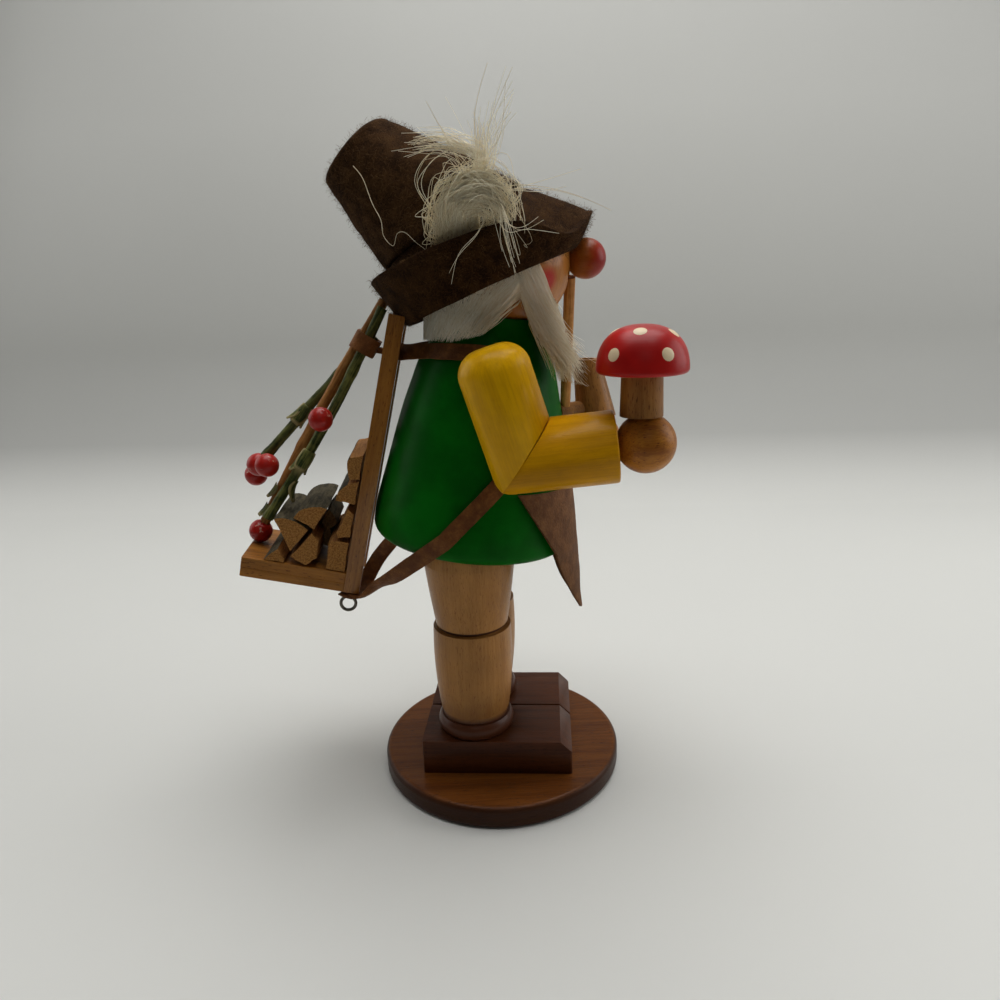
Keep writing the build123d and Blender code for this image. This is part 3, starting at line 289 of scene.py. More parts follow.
def noise_value(tree, vector, scale, detail=3.0, rough=0.55):
    """Noise from 0 to 1."""
    inputs = {"Vector": vector, "Scale": scale, "Detail": detail, "Roughness": rough}
    return node(tree, "ShaderNodeTexNoise", inputs).outputs["Fac"]


def bump(tree, shader, height, distance, strength=1.0):
    """Relief of a given depth in metres."""
    inputs = {"Height": height, "Distance": distance, "Strength": strength}
    made = node(tree, "ShaderNodeBump", inputs)
    tree.links.new(made.outputs["Normal"], shader.inputs["Normal"])


# %% Shader groups
VECTOR = "NodeSocketVector"
COLOUR = "NodeSocketColor"
VALUE = "NodeSocketFloat"


def wood_grain_group():
    """Streaks and pores that run along Z, from coordinates in metres."""
    inputs = [("Vector", VECTOR, None), ("Light", COLOUR, None), ("Dark", COLOUR, None)]
    inputs += [("Streaks", VALUE, 0.6), ("Pores", VALUE, 0.4)]
    tree, start, end = shader_group("wood_grain", inputs, [("Colour", COLOUR), ("Height", VALUE)])
    along = stretch(tree, start["Vector"], (1000, 1000, 45))
    broad = noise_value(tree, along, 0.22, 4.0)
    fine = noise_value(tree, along, 1.5, 3.0, 0.65)
    dashes = noise_value(tree, stretch(tree, start["Vector"], (1000, 1000, 170)), 2.1, 2.0)
    pores = remap(tree, dashes, 0.58, 0.70)
    tone = remap(tree, weighed(tree, broad, 0.6, fine, 0.4), 0.36, 0.66)
    streak_share = calc(tree, "MULTIPLY", tone, start["Streaks"])
    streaked = mix_colours(tree, streak_share, start["Light"], start["Dark"])
    pore_share = calc(tree, "MULTIPLY", pores, start["Pores"])
    pored = mix_colours(tree, pore_share, streaked, start["Dark"], "MULTIPLY")
    tree.links.new(pored, end["Colour"])
    tree.links.new(calc(tree, "SUBTRACT", fine, calc(tree, "MULTIPLY", pores, 0.6)), end["Height"])
    return tree


def lathe_marks_group():
    """Fine ridges round the Z axis, left by the turning tool."""
    inputs = [("Vector", VECTOR, None), ("Per metre", VALUE, 900.0)]
    tree, start, end = shader_group("lathe_marks", inputs, [("Height", VALUE)])
    flat = stretch(tree, start["Vector"], (0.012, 0.012, 1))
    tree.links.new(noise_value(tree, flat, start["Per metre"], 2.0, 0.6), end["Height"])
    return tree


def unevenness_group():
    """Slow change of tone over a surface, around 1."""
    inputs = [("Vector", VECTOR, None), ("Per metre", VALUE, 60.0), ("Amount", VALUE, 0.2)]
    tree, start, end = shader_group("unevenness", inputs, [("Value", VALUE)])
    cloud = noise_value(tree, start["Vector"], start["Per metre"], 4.0)
    swing = calc(tree, "MULTIPLY", start["Amount"], 3.0)
    centred = calc(tree, "MULTIPLY", calc(tree, "SUBTRACT", cloud, 0.5), swing)
    tree.links.new(calc(tree, "ADD", centred, 1.0), end["Value"])
    return tree


def leather_grain_group():
    """Pebbled leather with darker pores and rubbed spots."""
    inputs = [("Vector", VECTOR, None), ("Light", COLOUR, None), ("Dark", COLOUR, None)]
    tree, start, end = shader_group("leather_grain", inputs, [("Colour", COLOUR), ("Height", VALUE)])
    cell_inputs = {"Vector": start["Vector"], "Scale": 1300.0}
    cells = node(tree, "ShaderNodeTexVoronoi", cell_inputs, feature="SMOOTH_F1")
    pebble = remap(tree, cells.outputs["Distance"], 0.1, 0.75)
    cloud = noise_value(tree, start["Vector"], 170.0, 5.0, 0.65)
    rubbed = remap(tree, cloud, 0.35, 0.68)
    base = mix_colours(tree, rubbed, start["Dark"], start["Light"])
    pore_share = calc(tree, "MULTIPLY", pebble, 0.45)
    tree.links.new(mix_colours(tree, pore_share, base, start["Dark"]), end["Colour"])
    tree.links.new(calc(tree, "SUBTRACT", calc(tree, "MULTIPLY", cloud, 0.6), pebble), end["Height"])
    return tree


wood_grain = wood_grain_group()
lathe_marks = lathe_marks_group()
unevenness = unevenness_group()
leather_grain = leather_grain_group()
print("shader groups", [group.name for group in bpy.data.node_groups])

# %% [markdown]
# ## Turned and sawn wood
# Stained, lacquered and painted wood differ in colour, grain and gloss, but they are built alike. The
# coordinates are turned so that the grain runs along the piece, because a wood turner sets the blank
# that way.

# %% Wood finishes
UPRIGHT = Vector((0, 0, 1))
GRAIN_RELIEF = 0.06
LATHE_RELIEF = 0.06
LACQUER_ROUGHNESS = 0.16
PAINT_ROUGHNESS = 0.22


def turned_place(tree, grain):
    """Object coordinates turned so that a direction of the piece lies along Z."""
    turn = Vector(grain).rotation_difference(UPRIGHT).to_euler()
    place = object_place(tree)
    return node(tree, "ShaderNodeMapping", {"Vector": place, "Rotation": turn}).outputs["Vector"]


def wood_finish(
    name, light, dark, grain=UPRIGHT, streaks=0.7, pores=0.4, roughness=0.4, coat=0.3, shine=SHINE
):
    """Wood under a clear or tinted coat, grained along one direction, with what overpainting needs."""
    material, tree, shader = new_material(name, roughness, shine)
    place = turned_place(tree, grain)
    inputs = {"Vector": place, "Light": (*light, 1), "Dark": (*dark, 1), "Streaks": streaks, "Pores": pores}
    grained = node(tree, "ShaderNodeGroup", inputs, node_tree=wood_grain)
    uneven = node(tree, "ShaderNodeGroup", {"Vector": place, "Amount": 0.16}, node_tree=unevenness)
    value = uneven.outputs["Value"]
    tone = node(tree, "ShaderNodeCombineColor", {"Red": value, "Green": value, "Blue": value})
    colour = mix_colours(tree, 1.0, grained.outputs["Colour"], tone.outputs["Color"], "MULTIPLY")
    tree.links.new(colour, shader.inputs["Base Color"])
    gloss = calc(tree, "MULTIPLY", value, roughness)
    tree.links.new(gloss, shader.inputs["Roughness"])
    shader.inputs["Coat Weight"].default_value = coat
    shader.inputs["Coat Roughness"].default_value = LACQUER_ROUGHNESS
    bump(tree, shader, grained.outputs["Height"], GRAIN_RELIEF * MM)
    return material, tree, shader, colour


def plain_wood(name, light, dark, **look):
    """Wood finish that gets no overpainting."""
    return wood_finish(name, light, dark, **look)[0]


def gloss_paint(name, colour, deep, axis=UPRIGHT, roughness=0.3, coat=0.5, marks=700.0, shine=SHINE):
    """Opaque paint over turned wood, with the lathe's ridges under it."""
    material, tree, shader = new_material(name, roughness, shine)
    place = turned_place(tree, axis)
    inputs = {"Vector": place, "Per metre": 45.0, "Amount": 0.5}
    uneven = node(tree, "ShaderNodeGroup", inputs, node_tree=unevenness)
    tone = remap(tree, uneven.outputs["Value"], 0.8, 1.2)
    painted = mix_colours(tree, tone, (*deep, 1), (*colour, 1))
    tree.links.new(painted, shader.inputs["Base Color"])
    ridges = node(tree, "ShaderNodeGroup", {"Vector": place, "Per metre": marks}, node_tree=lathe_marks)
    bump(tree, shader, ridges.outputs["Height"], LATHE_RELIEF * MM)
    shader.inputs["Coat Weight"].default_value = coat
    shader.inputs["Coat Roughness"].default_value = PAINT_ROUGHNESS
    return material


def finish_node(material, *names):
    """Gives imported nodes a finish."""
    for name in names:
        mesh = nodes[name].data
        mesh.materials.clear()
        mesh.materials.append(material)


def painted_spot(tree, place, radius, softness, under, colour):
    """Round spot of paint at a place in metres, over a colour."""
    spot = object_place(tree)
    away = node(tree, "ShaderNodeVectorMath", {0: spot, 1: place}, operation="DISTANCE").outputs["Value"]
    share = remap(tree, away, radius - softness, radius + softness, 1.0, 0.0)
    return mix_colours(tree, share, under, (*colour, 1))


# %% Disc, shoes and plug
DULL = 0.09
DISC_EDGE = (1.8, 0.3)
DISC_LIGHT = (0.150, 0.048, 0.008)
DISC_DARK = (0.068, 0.019, 0.004)
SHOE_LIGHT = (0.088, 0.025, 0.007)
SHOE_DARK = (0.042, 0.011, 0.004)


def disc_finish():
    """Amber stain on the base disc, much darker on its turned edge."""
    look = {"grain": (1, 0.1, 0), "streaks": 0.85, "pores": 0.6, "coat": 0.08, "shine": DULL}
    material, tree, shader, colour = wood_finish("disc_wood", DISC_LIGHT, DISC_DARK, **look)
    flat = stretch(tree, object_place(tree), (1, 1, 0))
    reach = node(tree, "ShaderNodeVectorMath", {0: flat}, operation="LENGTH").outputs["Value"]
    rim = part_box("base_disc")[1].x
    edge = remap(tree, reach, rim - DISC_EDGE[0] * MM, rim - DISC_EDGE[1] * MM, 0.0, 0.85)
    tree.links.new(mix_colours(tree, edge, colour, (0.026, 0.009, 0.004, 1)), shader.inputs["Base Color"])
    return material


shoe_look = {"grain": (1, 0, 0), "streaks": 0.8, "pores": 0.5, "coat": 0.08, "shine": DULL}
shoe_wood = plain_wood("shoe_wood", SHOE_LIGHT, SHOE_DARK, **shoe_look)
plug_look = {"streaks": 0.6, "pores": 0.5, "roughness": 0.7, "coat": 0.0}
plug_wood = plain_wood("plug_wood", (0.50, 0.31, 0.15), (0.34, 0.19, 0.08), **plug_look)
finish_node(disc_finish(), "base_disc")
finish_node(plug_wood, "waist_plug", "shoulder_dowels", "elbow_dowels", "wrist_pegs", "palm_pegs")
print("disc and plug finished")

# %% Legs
# Heights in millimetres above the shoe, and the half width of the groove's dark band
BOOT_GROOVE = 50.6
GROOVE_HALF = (0.3, 1.0)
BEAD_END = (7.4, 10.2)
ANKLE_SHADE = (8, 26)


def leg_finish():
    """Beech under clear lacquer; dark band at the boot's top groove, dark-stained ankle bead, painted shade
    above it.
    """
    light, dark = (0.44, 0.205, 0.052), (0.31, 0.13, 0.028)
    look = {"streaks": 0.75, "pores": 0.45, "coat": 0.12}
    material, tree, shader, colour = wood_finish("leg_wood", light, dark, **look)
    height = node(tree, "ShaderNodeSeparateXYZ", {0: object_place(tree)}).outputs["Z"]
    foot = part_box("shoe_right")[1].z
    bead = remap(tree, height, foot + BEAD_END[0] * MM, foot + BEAD_END[1] * MM, 1.0, 0.0)
    groove = calc(tree, "ABSOLUTE", calc(tree, "SUBTRACT", height, foot + BOOT_GROOVE * MM))
    ring = remap(tree, groove, GROOVE_HALF[0] * MM, GROOVE_HALF[1] * MM, 0.92, 0.0)
    groove_dark = (0.055, 0.016, 0.008, 1)
    # Painted shade over the leg just above the shoe
    shaded = remap(tree, height, foot + ANKLE_SHADE[0] * MM, foot + ANKLE_SHADE[1] * MM, 0.5, 0.0)
    ankle = mix_colours(tree, shaded, colour, (0.12, 0.042, 0.012, 1))
    stained = mix_colours(tree, bead, ankle, (0.075, 0.022, 0.008, 1))
    tree.links.new(mix_colours(tree, ring, stained, groove_dark), shader.inputs["Base Color"])
    return material


finish_node(leg_finish(), "leg_right", "leg_left")
print("legs finished")

# %% Metal


def metal_finish(name, colour, roughness):
    """Bare metal with small scratches and dull spots."""
    material, tree, shader = new_material(name, roughness)
    place = object_place(tree)
    inputs = {"Vector": place, "Per metre": 500.0, "Amount": 0.5}
    uneven = node(tree, "ShaderNodeGroup", inputs, node_tree=unevenness)
    tone = remap(tree, uneven.outputs["Value"], 0.6, 1.4)
    dull = tuple(0.55 * value for value in colour)
    tree.links.new(mix_colours(tree, tone, (*dull, 1), (*colour, 1)), shader.inputs["Base Color"])
    tree.links.new(calc(tree, "MULTIPLY", uneven.outputs["Value"], roughness), shader.inputs["Roughness"])
    shader.inputs["Metallic"].default_value = 1.0
    return material


tin = metal_finish("tin", (0.62, 0.62, 0.60), 0.34)
dark_steel = metal_finish("dark_steel", (0.16, 0.145, 0.12), 0.38)
finish_node(tin, "incense_tray")
finish_node(dark_steel, "base_screws", "screw_eye", "strap_tacks")
print("tin and steel finished")

# %% [markdown]
# ## Coat, head, hands and mushroom
# The coat has an opaque green gloss paint. The head is light lacquered wood with a blush on each cheek, and
# the nose is a ball with a red tip. Hands and stalk show their grain, and the mushroom's cap is painted red.

# %% Figure coordinates
turn_joint = frame["joints"][0]
FIGURE_UP = Vector(turn_joint["axis"]).normalized()
FIGURE_AT = Vector(turn_joint["pos_m"])
FIGURE_LEFT = Vector((0, 1, 0))
FIGURE_FRONT = FIGURE_LEFT.cross(FIGURE_UP)


def radial(angle):
    """Direction away from the coat's axis, at an angle in degrees from the front."""
    turn = math.radians(angle)
    return FIGURE_FRONT * math.cos(turn) + FIGURE_LEFT * math.sin(turn)


def on_axis(height):
    """Point of the coat's axis, by its height above the hem in millimetres."""
    return FIGURE_AT + FIGURE_UP * (height * MM)


def node_tree_of_faces(*names):
    """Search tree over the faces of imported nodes."""
    points, faces = [], []
    for name in names:
        mesh = nodes[name].data
        first = len(points)
        points += [vertex.co.copy() for vertex in mesh.vertices]
        faces += [[first + index for index in face.vertices] for face in mesh.polygons]
    return BVHTree.FromPolygons(points, faces)


body_faces = node_tree_of_faces("coat", "head")
FAR = 0.2


def on_body(height, angle):
    """Point and outward direction of the coat or head at a height and angle."""
    outward = radial(angle)
    hit, facing = body_faces.ray_cast(on_axis(height) + outward * FAR, -outward)[:2]
    return hit, facing if facing.dot(outward) > 0 else -facing


print("coat radius at the waist", round((on_body(30, 0)[0] - on_axis(30)).length / MM, 2))

# %% Coat, head and nose
COAT_GREEN = (0.002, 0.118, 0.005)
COAT_DEEP = (0.001, 0.078, 0.003)
coat_look = {"axis": FIGURE_UP, "roughness": 0.42, "coat": 0.02, "marks": 800.0, "shine": 0.05}
finish_node(gloss_paint("coat_paint", COAT_GREEN, COAT_DEEP, **coat_look), "coat")

SKIN = (0.50, 0.20, 0.035)
SKIN_DARK = (0.35, 0.12, 0.018)
BLUSH = (0.42, 0.020, 0.008)
NOSE = (0.40, 0.125, 0.016)
NOSE_DARK = (0.26, 0.07, 0.008)
RED_FROM = 6.5
RED_PAST = 0.5
RED_RAGGED = 4
CHEEK_HEIGHT = 110.5
CHEEK_ANGLE = 44
CHEEK_RADIUS = 4.6
CHEEK_SOFTNESS = 2.4
EYE_HEIGHT = 124
EYE_ANGLE = 24
EYE_RADIUS = 1.7
EYE_SOFTNESS = 0.15
EYE_BLACK = (0.012, 0.009, 0.008)


def head_finish():
    """Lacquered light wood with a blush on each cheek and two painted eyes under the hat."""
    look = {"grain": FIGURE_UP, "streaks": 0.8, "pores": 0.35, "roughness": 0.36, "coat": 0.2}
    material, tree, shader, colour = wood_finish("skin_wood", SKIN, SKIN_DARK, **look)
    for side in (-1, 1):
        cheek = on_body(CHEEK_HEIGHT, side * CHEEK_ANGLE)[0]
        colour = painted_spot(tree, cheek, CHEEK_RADIUS * MM, CHEEK_SOFTNESS * MM, colour, BLUSH)
        eye = on_body(EYE_HEIGHT, side * EYE_ANGLE)[0]
        colour = painted_spot(tree, eye, EYE_RADIUS * MM, EYE_SOFTNESS * MM, colour, EYE_BLACK)
    tree.links.new(colour, shader.inputs["Base Color"])
    return material


def nose_finish():
    """Turned ball whose front half is rubbed with red."""
    look = {"grain": (1, 0, 0), "streaks": 0.7, "pores": 0.3, "roughness": 0.34, "coat": 0.08}
    material, tree, shader, colour = wood_finish("nose_wood", NOSE, NOSE_DARK, **look)
    low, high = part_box("nose")
    place = object_place(tree)
    reach = node(tree, "ShaderNodeSeparateXYZ", {0: place}).outputs["X"]
    ragged = calc(tree, "MULTIPLY", noise_value(tree, place, 350.0), RED_RAGGED * MM)
    share = remap(tree, calc(tree, "ADD", reach, ragged), low.x + RED_FROM * MM, high.x + RED_PAST * MM)
    tree.links.new(mix_colours(tree, share, colour, (0.27, 0.008, 0.004, 1)), shader.inputs["Base Color"])
    return material


finish_node(head_finish(), "head")
finish_node(nose_finish(), "nose")
print("coat, head and nose painted")

# %% Hands and mushroom
hand_look = {"grain": (1, 0.05, 0.05), "streaks": 1.0, "pores": 0.8, "coat": 0.08}
hand_wood = plain_wood("hand_wood", (0.48, 0.185, 0.022), (0.26, 0.08, 0.008), **hand_look)
finish_node(hand_wood, "hand_right", "hand_left")
stalk_look = {"streaks": 0.9, "pores": 0.7, "roughness": 0.45, "coat": 0.1}
stalk_wood = plain_wood("stalk_wood", (0.34, 0.155, 0.040), (0.20, 0.08, 0.018), **stalk_look)
finish_node(stalk_wood, "mushroom_stalk")
cap_look = {"roughness": 0.36, "coat": 0.06, "marks": 1200.0}
cap_paint = gloss_paint("cap_paint", (0.45, 0.010, 0.008), (0.30, 0.005, 0.004), **cap_look)
finish_node(cap_paint, "mushroom_cap")
print("hands and mushroom painted")

# %% [markdown]
# ## Dots on the mushroom
# The cream dots are thick dabs of paint. A dab is a small domed disc, shrunk onto the cap by casting rays,
# so that it follows the curve. Four dots show in the photograph, and the others follow the same ring.

# %% Making a piece
WELD_WITHIN = 0.001


def finished(name, points, faces, material, body, replaced=()):
    """One smooth piece at the origin from points in metres, which rides on a body."""
    mesh = bpy.data.meshes.new(name)
    mesh.from_pydata(points, [], faces)
    mesh.materials.append(material)
    shape = bmesh.new()
    shape.from_mesh(mesh)
    bmesh.ops.remove_doubles(shape, verts=shape.verts, dist=WELD_WITHIN * MM)
    bmesh.ops.recalc_face_normals(shape, faces=shape.faces)
    shape.to_mesh(mesh)
    shape.free()
    mesh.shade_smooth()
    piece = bpy.data.objects.new(name, mesh)
    scene.collection.objects.link(piece)
    return hand_over(piece, body, replaced)


def hand_over(piece, body, replaced=()):
    """Hangs a piece on the empty of its body and hides the imported nodes that it replaces."""
    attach(piece, body)
    if replaced:
        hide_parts(*replaced)
    return piece


# %% Mushroom dots
DOT_RADIUS = 2.5
DOT_THICKNESS = 0.22
DOT_SINK = 0.03
DOT_CAST = 0.05
DOT_RINGS = 5
DOT_SIDES = 20
DOT_PLACES = [(-136, 26), (-64, 26), (-103, 59), (-22, 52), (6, 24), (72, 26), (144, 26), (72, 59), (165, 55)]


def square_to(facing):
    """Level direction and steep direction that are square to a given one."""
    side = facing.cross(UPRIGHT).normalized()
    return side, side.cross(facing)


def mushroom_dots():
    """Domed dabs of cream paint laid on the cap."""
    low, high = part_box("mushroom_cap")
    middle = Vector(((low.x + high.x) / 2, (low.y + high.y) / 2, low.z))
    cap_faces = node_tree_of_faces("mushroom_cap")
    points, faces = [], []
    for turn, rise in DOT_PLACES:
        turn, rise = math.radians(turn), math.radians(rise)
        facing = Vector((math.cos(turn) * math.cos(rise), math.sin(turn) * math.cos(rise), math.sin(rise)))
        side, over = square_to(facing)
        first = len(points)
        for ring in range(DOT_RINGS + 1):
            share = ring / DOT_RINGS
            for step in range(DOT_SIDES):
                angle = 2 * math.pi * step / DOT_SIDES
                reach = side * math.cos(angle) + over * math.sin(angle)
                start = middle + facing * DOT_CAST + reach * (DOT_RADIUS * share * MM)
                hit = cap_faces.ray_cast(start, -facing)[0]
                lift = DOT_THICKNESS * (1 - share**4) - DOT_SINK
                points.append(hit + facing * (lift * MM))
        for ring in range(DOT_RINGS):
            for step in range(DOT_SIDES):
                after = (step + 1) % DOT_SIDES
                row, next_row = first + ring * DOT_SIDES, first + (ring + 1) * DOT_SIDES
                faces.append((row + step, next_row + step, next_row + after, row + after))
    cream = gloss_paint("cream_dabs", (0.80, 0.66, 0.44), (0.68, 0.52, 0.33), roughness=0.45, coat=0.2)
    return finished("mushroom_dots", points, faces, cream, "figure")


print("dots", len(DOT_PLACES), "faces", len(mushroom_dots().data.polygons))

# %% [markdown]
# ## Sawn blocks
# Shoes, posts, slats and the carrier's floor are sawn blocks whose edges were broken with sandpaper. A copy
# of each packed block is merged and its edges get a small round.

# %% Sawn blocks
EDGE_ROUND = 0.45
SHOE_ROUND = 0.9
SLAT_ROUND = 0.3
FLOOR_ROUND = 0.35
EDGE_STEPS = 3
EDGE_ANGLE = math.radians(35)
MERGE_WITHIN = 0.002
CARRIER_LEAN = math.radians(13.5)
CARRIER_YAW = math.radians(8)
CARRIER_AT = Vector((-61.2, 0, 91.5)) * MM
carrier_ahead = Vector((math.cos(CARRIER_YAW), math.sin(CARRIER_YAW), 0))
CARRIER_LEFT = Vector((-math.sin(CARRIER_YAW), math.cos(CARRIER_YAW), 0))
CARRIER_UP = carrier_ahead * math.sin(CARRIER_LEAN) + UPRIGHT * math.cos(CARRIER_LEAN)
CARRIER_OUT = CARRIER_LEFT.cross(CARRIER_UP)


def on_carrier(ahead, left, up):
    """Point of the carrier in metres, from millimetres ahead, left and up of its front lower edge."""
    return CARRIER_AT + (CARRIER_OUT * ahead + CARRIER_LEFT * left + CARRIER_UP * up) * MM


def settle(piece):
    """Turns what the modifiers make into the piece's own mesh."""
    graph = bpy.context.evaluated_depsgraph_get()
    mesh = bpy.data.meshes.new_from_object(piece.evaluated_get(graph))
    piece.modifiers.clear()
    piece.data = mesh
    return piece


def opened_copy(node_name, material):
    """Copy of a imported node's mesh in one material, with its points merged and open for editing."""
    mesh = nodes[node_name].data.copy()
    mesh.materials.clear()
    mesh.materials.append(material)
    shape = bmesh.new()
    shape.from_mesh(mesh)
    bmesh.ops.remove_doubles(shape, verts=shape.verts, dist=MERGE_WITHIN * MM)
    return mesh, shape


def closed_copy(name, mesh, shape):
    """Piece at the origin from an edited copy."""
    shape.to_mesh(mesh)
    shape.free()
    piece = bpy.data.objects.new(name, mesh)
    scene.collection.objects.link(piece)
    return piece


def sawn_block(node_name, material, body, edge=EDGE_ROUND):
    """Copy of a packed block with its edges rounded."""
    piece = closed_copy(f"{node_name}_sawn", *opened_copy(node_name, material))
    rounding = piece.modifiers.new("edges", "BEVEL")
    rounding.width = edge * MM
    rounding.segments = EDGE_STEPS
    rounding.limit_method = "ANGLE"
    rounding.angle_limit = EDGE_ANGLE
    settle(piece)
    piece.data.set_sharp_from_angle(angle=math.radians(40))
    return hand_over(piece, body, (node_name,))


for side in ("right", "left"):
    sawn_block(f"shoe_{side}", shoe_wood, "stand", SHOE_ROUND)
CARRIER_LIGHT = (0.37, 0.150, 0.022)
CARRIER_DARK = (0.20, 0.072, 0.010)
post_look = {"grain": CARRIER_UP, "streaks": 0.85, "pores": 0.6, "roughness": 0.48, "coat": 0.45}
post_wood = plain_wood("post_wood", CARRIER_LIGHT, CARRIER_DARK, **post_look)
slat_look = {"grain": CARRIER_LEFT, "streaks": 0.85, "pores": 0.6, "roughness": 0.48, "coat": 0.2}
slat_wood = plain_wood("slat_wood", CARRIER_LIGHT, CARRIER_DARK, **slat_look)
floor_look = {"grain": CARRIER_OUT, "streaks": 0.95, "pores": 0.7, "roughness": 0.5, "coat": 0.15}
floor_wood = plain_wood("floor_wood", CARRIER_LIGHT, CARRIER_DARK, **floor_look)
for side in ("right", "left"):
    sawn_block(f"carrier_post_{side}", post_wood, "figure")
    sawn_block(f"carrier_bearer_{side}", floor_wood, "figure")
for level in ("low", "middle", "top"):
    sawn_block(f"carrier_slat_{level}", slat_wood, "figure", SLAT_ROUND)
sawn_block("carrier_floor", floor_wood, "figure", FLOOR_ROUND)
print("sawn blocks ready")

# %% [markdown]
# ## Arms
# Each arm is two rods, sawn at an angle and glued, under a yellow glaze that lets the grain through. The
# outer corner of the elbow was sanded round, and a fine groove shows at the joint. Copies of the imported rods
# get extra rings of edges there by cutting them with planes, and the new points are then moved.

# %% Softened arms
ARM_GLAZES = {
    "upper_arm": ((0.78, 0.42, 0.002), (0.56, 0.27, 0.001)),
    "forearm": ((0.60, 0.285, 0.002), (0.40, 0.165, 0.001)),
}
ARM_LOOK = {"streaks": 0.7, "pores": 0.12, "roughness": 0.34, "coat": 0.08, "shine": 0.08}
ARM_RADIUS = 13.6
SKIN_SHARE = 0.93
HAND_FLAT = 10.7
TIP_CUTS = (13.4, 13.8, 14.2, 14.6, 15.0, 15.4, 15.8, 16.2, 16.6, 17.0)
TIP_FROM = 13.4
TIP_ROUND = 2.0
MITRE_GROOVE = 0.4
MITRE_NEAR = 0.02
WRIST_ROUND = 0.9
WRIST_CUTS = (1.0, 0.6, 0.25, 0.06)
ARM_POINTS = {
    "right": (Vector((2.68, -43.5, 196.8)), Vector((15.25, -43.5, 156.2)), Vector((60.24, -43.5, 160.53))),
    "left": (Vector((2.68, 43.5, 196.8)), Vector((10, 56, 149.5)), Vector((47, 35.5, 148))),
}


def cut_across(shape, place, facing):
    """Adds a ring of edges where a plane in millimetres crosses a mesh."""
    everything = shape.verts[:] + shape.edges[:] + shape.faces[:]
    bmesh.ops.bisect_plane(shape, geom=everything, plane_co=place * MM, plane_no=facing)


def softened_point(point, elbow, own, tip, mitre, end):
    """Point of an arm in millimetres after the elbow's corner, the joint and the wrist are eased."""
    away = point - elbow
    out = away - own * away.dot(own)
    on_skin = out.length > SKIN_SHARE * ARM_RADIUS
    if on_skin and abs(away.dot(mitre)) < MITRE_NEAR:
        point = point - out.normalized() * MITRE_GROOVE
    left_over = max(0.0, end - away.dot(own))
    if on_skin and left_over < WRIST_ROUND:
        eased = WRIST_ROUND - math.sqrt(WRIST_ROUND**2 - (WRIST_ROUND - left_over) ** 2)
        point = point - out.normalized() * eased
    depth = (point - elbow).dot(tip)
    if depth > TIP_FROM:
        eased_depth = TIP_FROM + TIP_ROUND * (1 - math.exp((TIP_FROM - depth) / TIP_ROUND))
        point = point + tip * (eased_depth - depth)
    return point


def softened_arm(node_name, elbow, own, other, end):
    """Copy of a packed rod with its elbow and wrist eased."""
    light, dark = ARM_GLAZES[node_name.rpartition("_")[0]]
    glaze = plain_wood(f"{node_name}_glaze", light, dark, grain=own, **ARM_LOOK)
    mesh, shape = opened_copy(node_name, glaze)
    tip = -(own + other).normalized()
    mitre = (own - other).normalized()
    for depth in TIP_CUTS:
        cut_across(shape, elbow + tip * depth, tip)
    cut_across(shape, elbow + mitre * MITRE_GROOVE, mitre)
    for step in WRIST_CUTS:
        cut_across(shape, elbow + own * (end - step * WRIST_ROUND), own)
    for vertex in shape.verts:
        vertex.co = softened_point(vertex.co / MM, elbow, own, tip, mitre, end) * MM
    piece = closed_copy(f"{node_name}_rod", mesh, shape)
    mesh.shade_smooth()
    mesh.set_sharp_from_angle(angle=math.radians(32))
    return hand_over(piece, "figure", (node_name,))


for side_name, (shoulder, elbow, hand) in ARM_POINTS.items():
    arm_up = (shoulder - elbow).normalized()
    arm_out = (hand - elbow).normalized()
    softened_arm(f"upper_arm_{side_name}", elbow, arm_up, arm_out, 2 * (shoulder - elbow).length)
    softened_arm(f"forearm_{side_name}", elbow, arm_out, arm_up, (hand - elbow).length - HAND_FLAT)
print("arms softened")

# %% [markdown]
# ## Felt hat
# The crown is a slumped cone of felt whose flat top has tipped back. The brim is dropped in front and turned
# up at the sides and back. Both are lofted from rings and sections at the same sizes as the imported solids.
# Geometry Nodes then set short fibres all over the felt, because fuzz is what makes felt look like felt.

# %% Felt
FELT_SHINE = 0.05
FELT_RELIEF = 0.7


def felt_finish(name, light, dark):
    """Pressed wool: mixed brown fibres, quite dull."""
    material, tree, shader = new_material(name, 0.95, FELT_SHINE)
    place = object_place(tree)
    fibres = noise_value(tree, place, 1500.0, 4.0, 0.75)
    clumps = noise_value(tree, place, 190.0, 4.0, 0.6)
    tone = remap(tree, weighed(tree, fibres, 0.55, clumps, 0.45), 0.34, 0.66)
    tree.links.new(mix_colours(tree, tone, (*dark, 1), (*light, 1)), shader.inputs["Base Color"])
    bump(tree, shader, calc(tree, "ADD", fibres, clumps), FELT_RELIEF * MM, 0.8)
    return material


felt_brown = felt_finish("felt_brown", (0.078, 0.037, 0.013), (0.015, 0.006, 0.002))
# The brim's felt is the crown's felt made darker, as painted shade on the turned-up brim
brim_felt_shaded = felt_finish("brim_felt_shaded", (0.060, 0.027, 0.009), (0.010, 0.004, 0.002))
fuzz_brown = felt_finish("fuzz_brown", (0.19, 0.108, 0.046), (0.052, 0.024, 0.010))
print("felt", [felt.name for felt in (felt_brown, brim_felt_shaded, fuzz_brown)])

# %% Fuzz tree
FIBRE_TURNS = (1.15, 1.15, 3.1)
FIBRE_SIZES = (0.4, 1.5)


def geometry_tree(name, inputs):
    """Geometry Nodes tree with a geometry in and out and named inputs."""
    tree = bpy.data.node_groups.new(name, "GeometryNodeTree")
    tree.interface.new_socket("Geometry", in_out="INPUT", socket_type="NodeSocketGeometry")
    for label, kind, value in inputs:
        socket = tree.interface.new_socket(label, in_out="INPUT", socket_type=kind)
        if value is not None:
            socket.default_value = value
    tree.interface.new_socket("Geometry", in_out="OUTPUT", socket_type="NodeSocketGeometry")
    start = tree.nodes.new("NodeGroupInput")
    end = tree.nodes.new("NodeGroupOutput")
    return tree, start.outputs, end.inputs


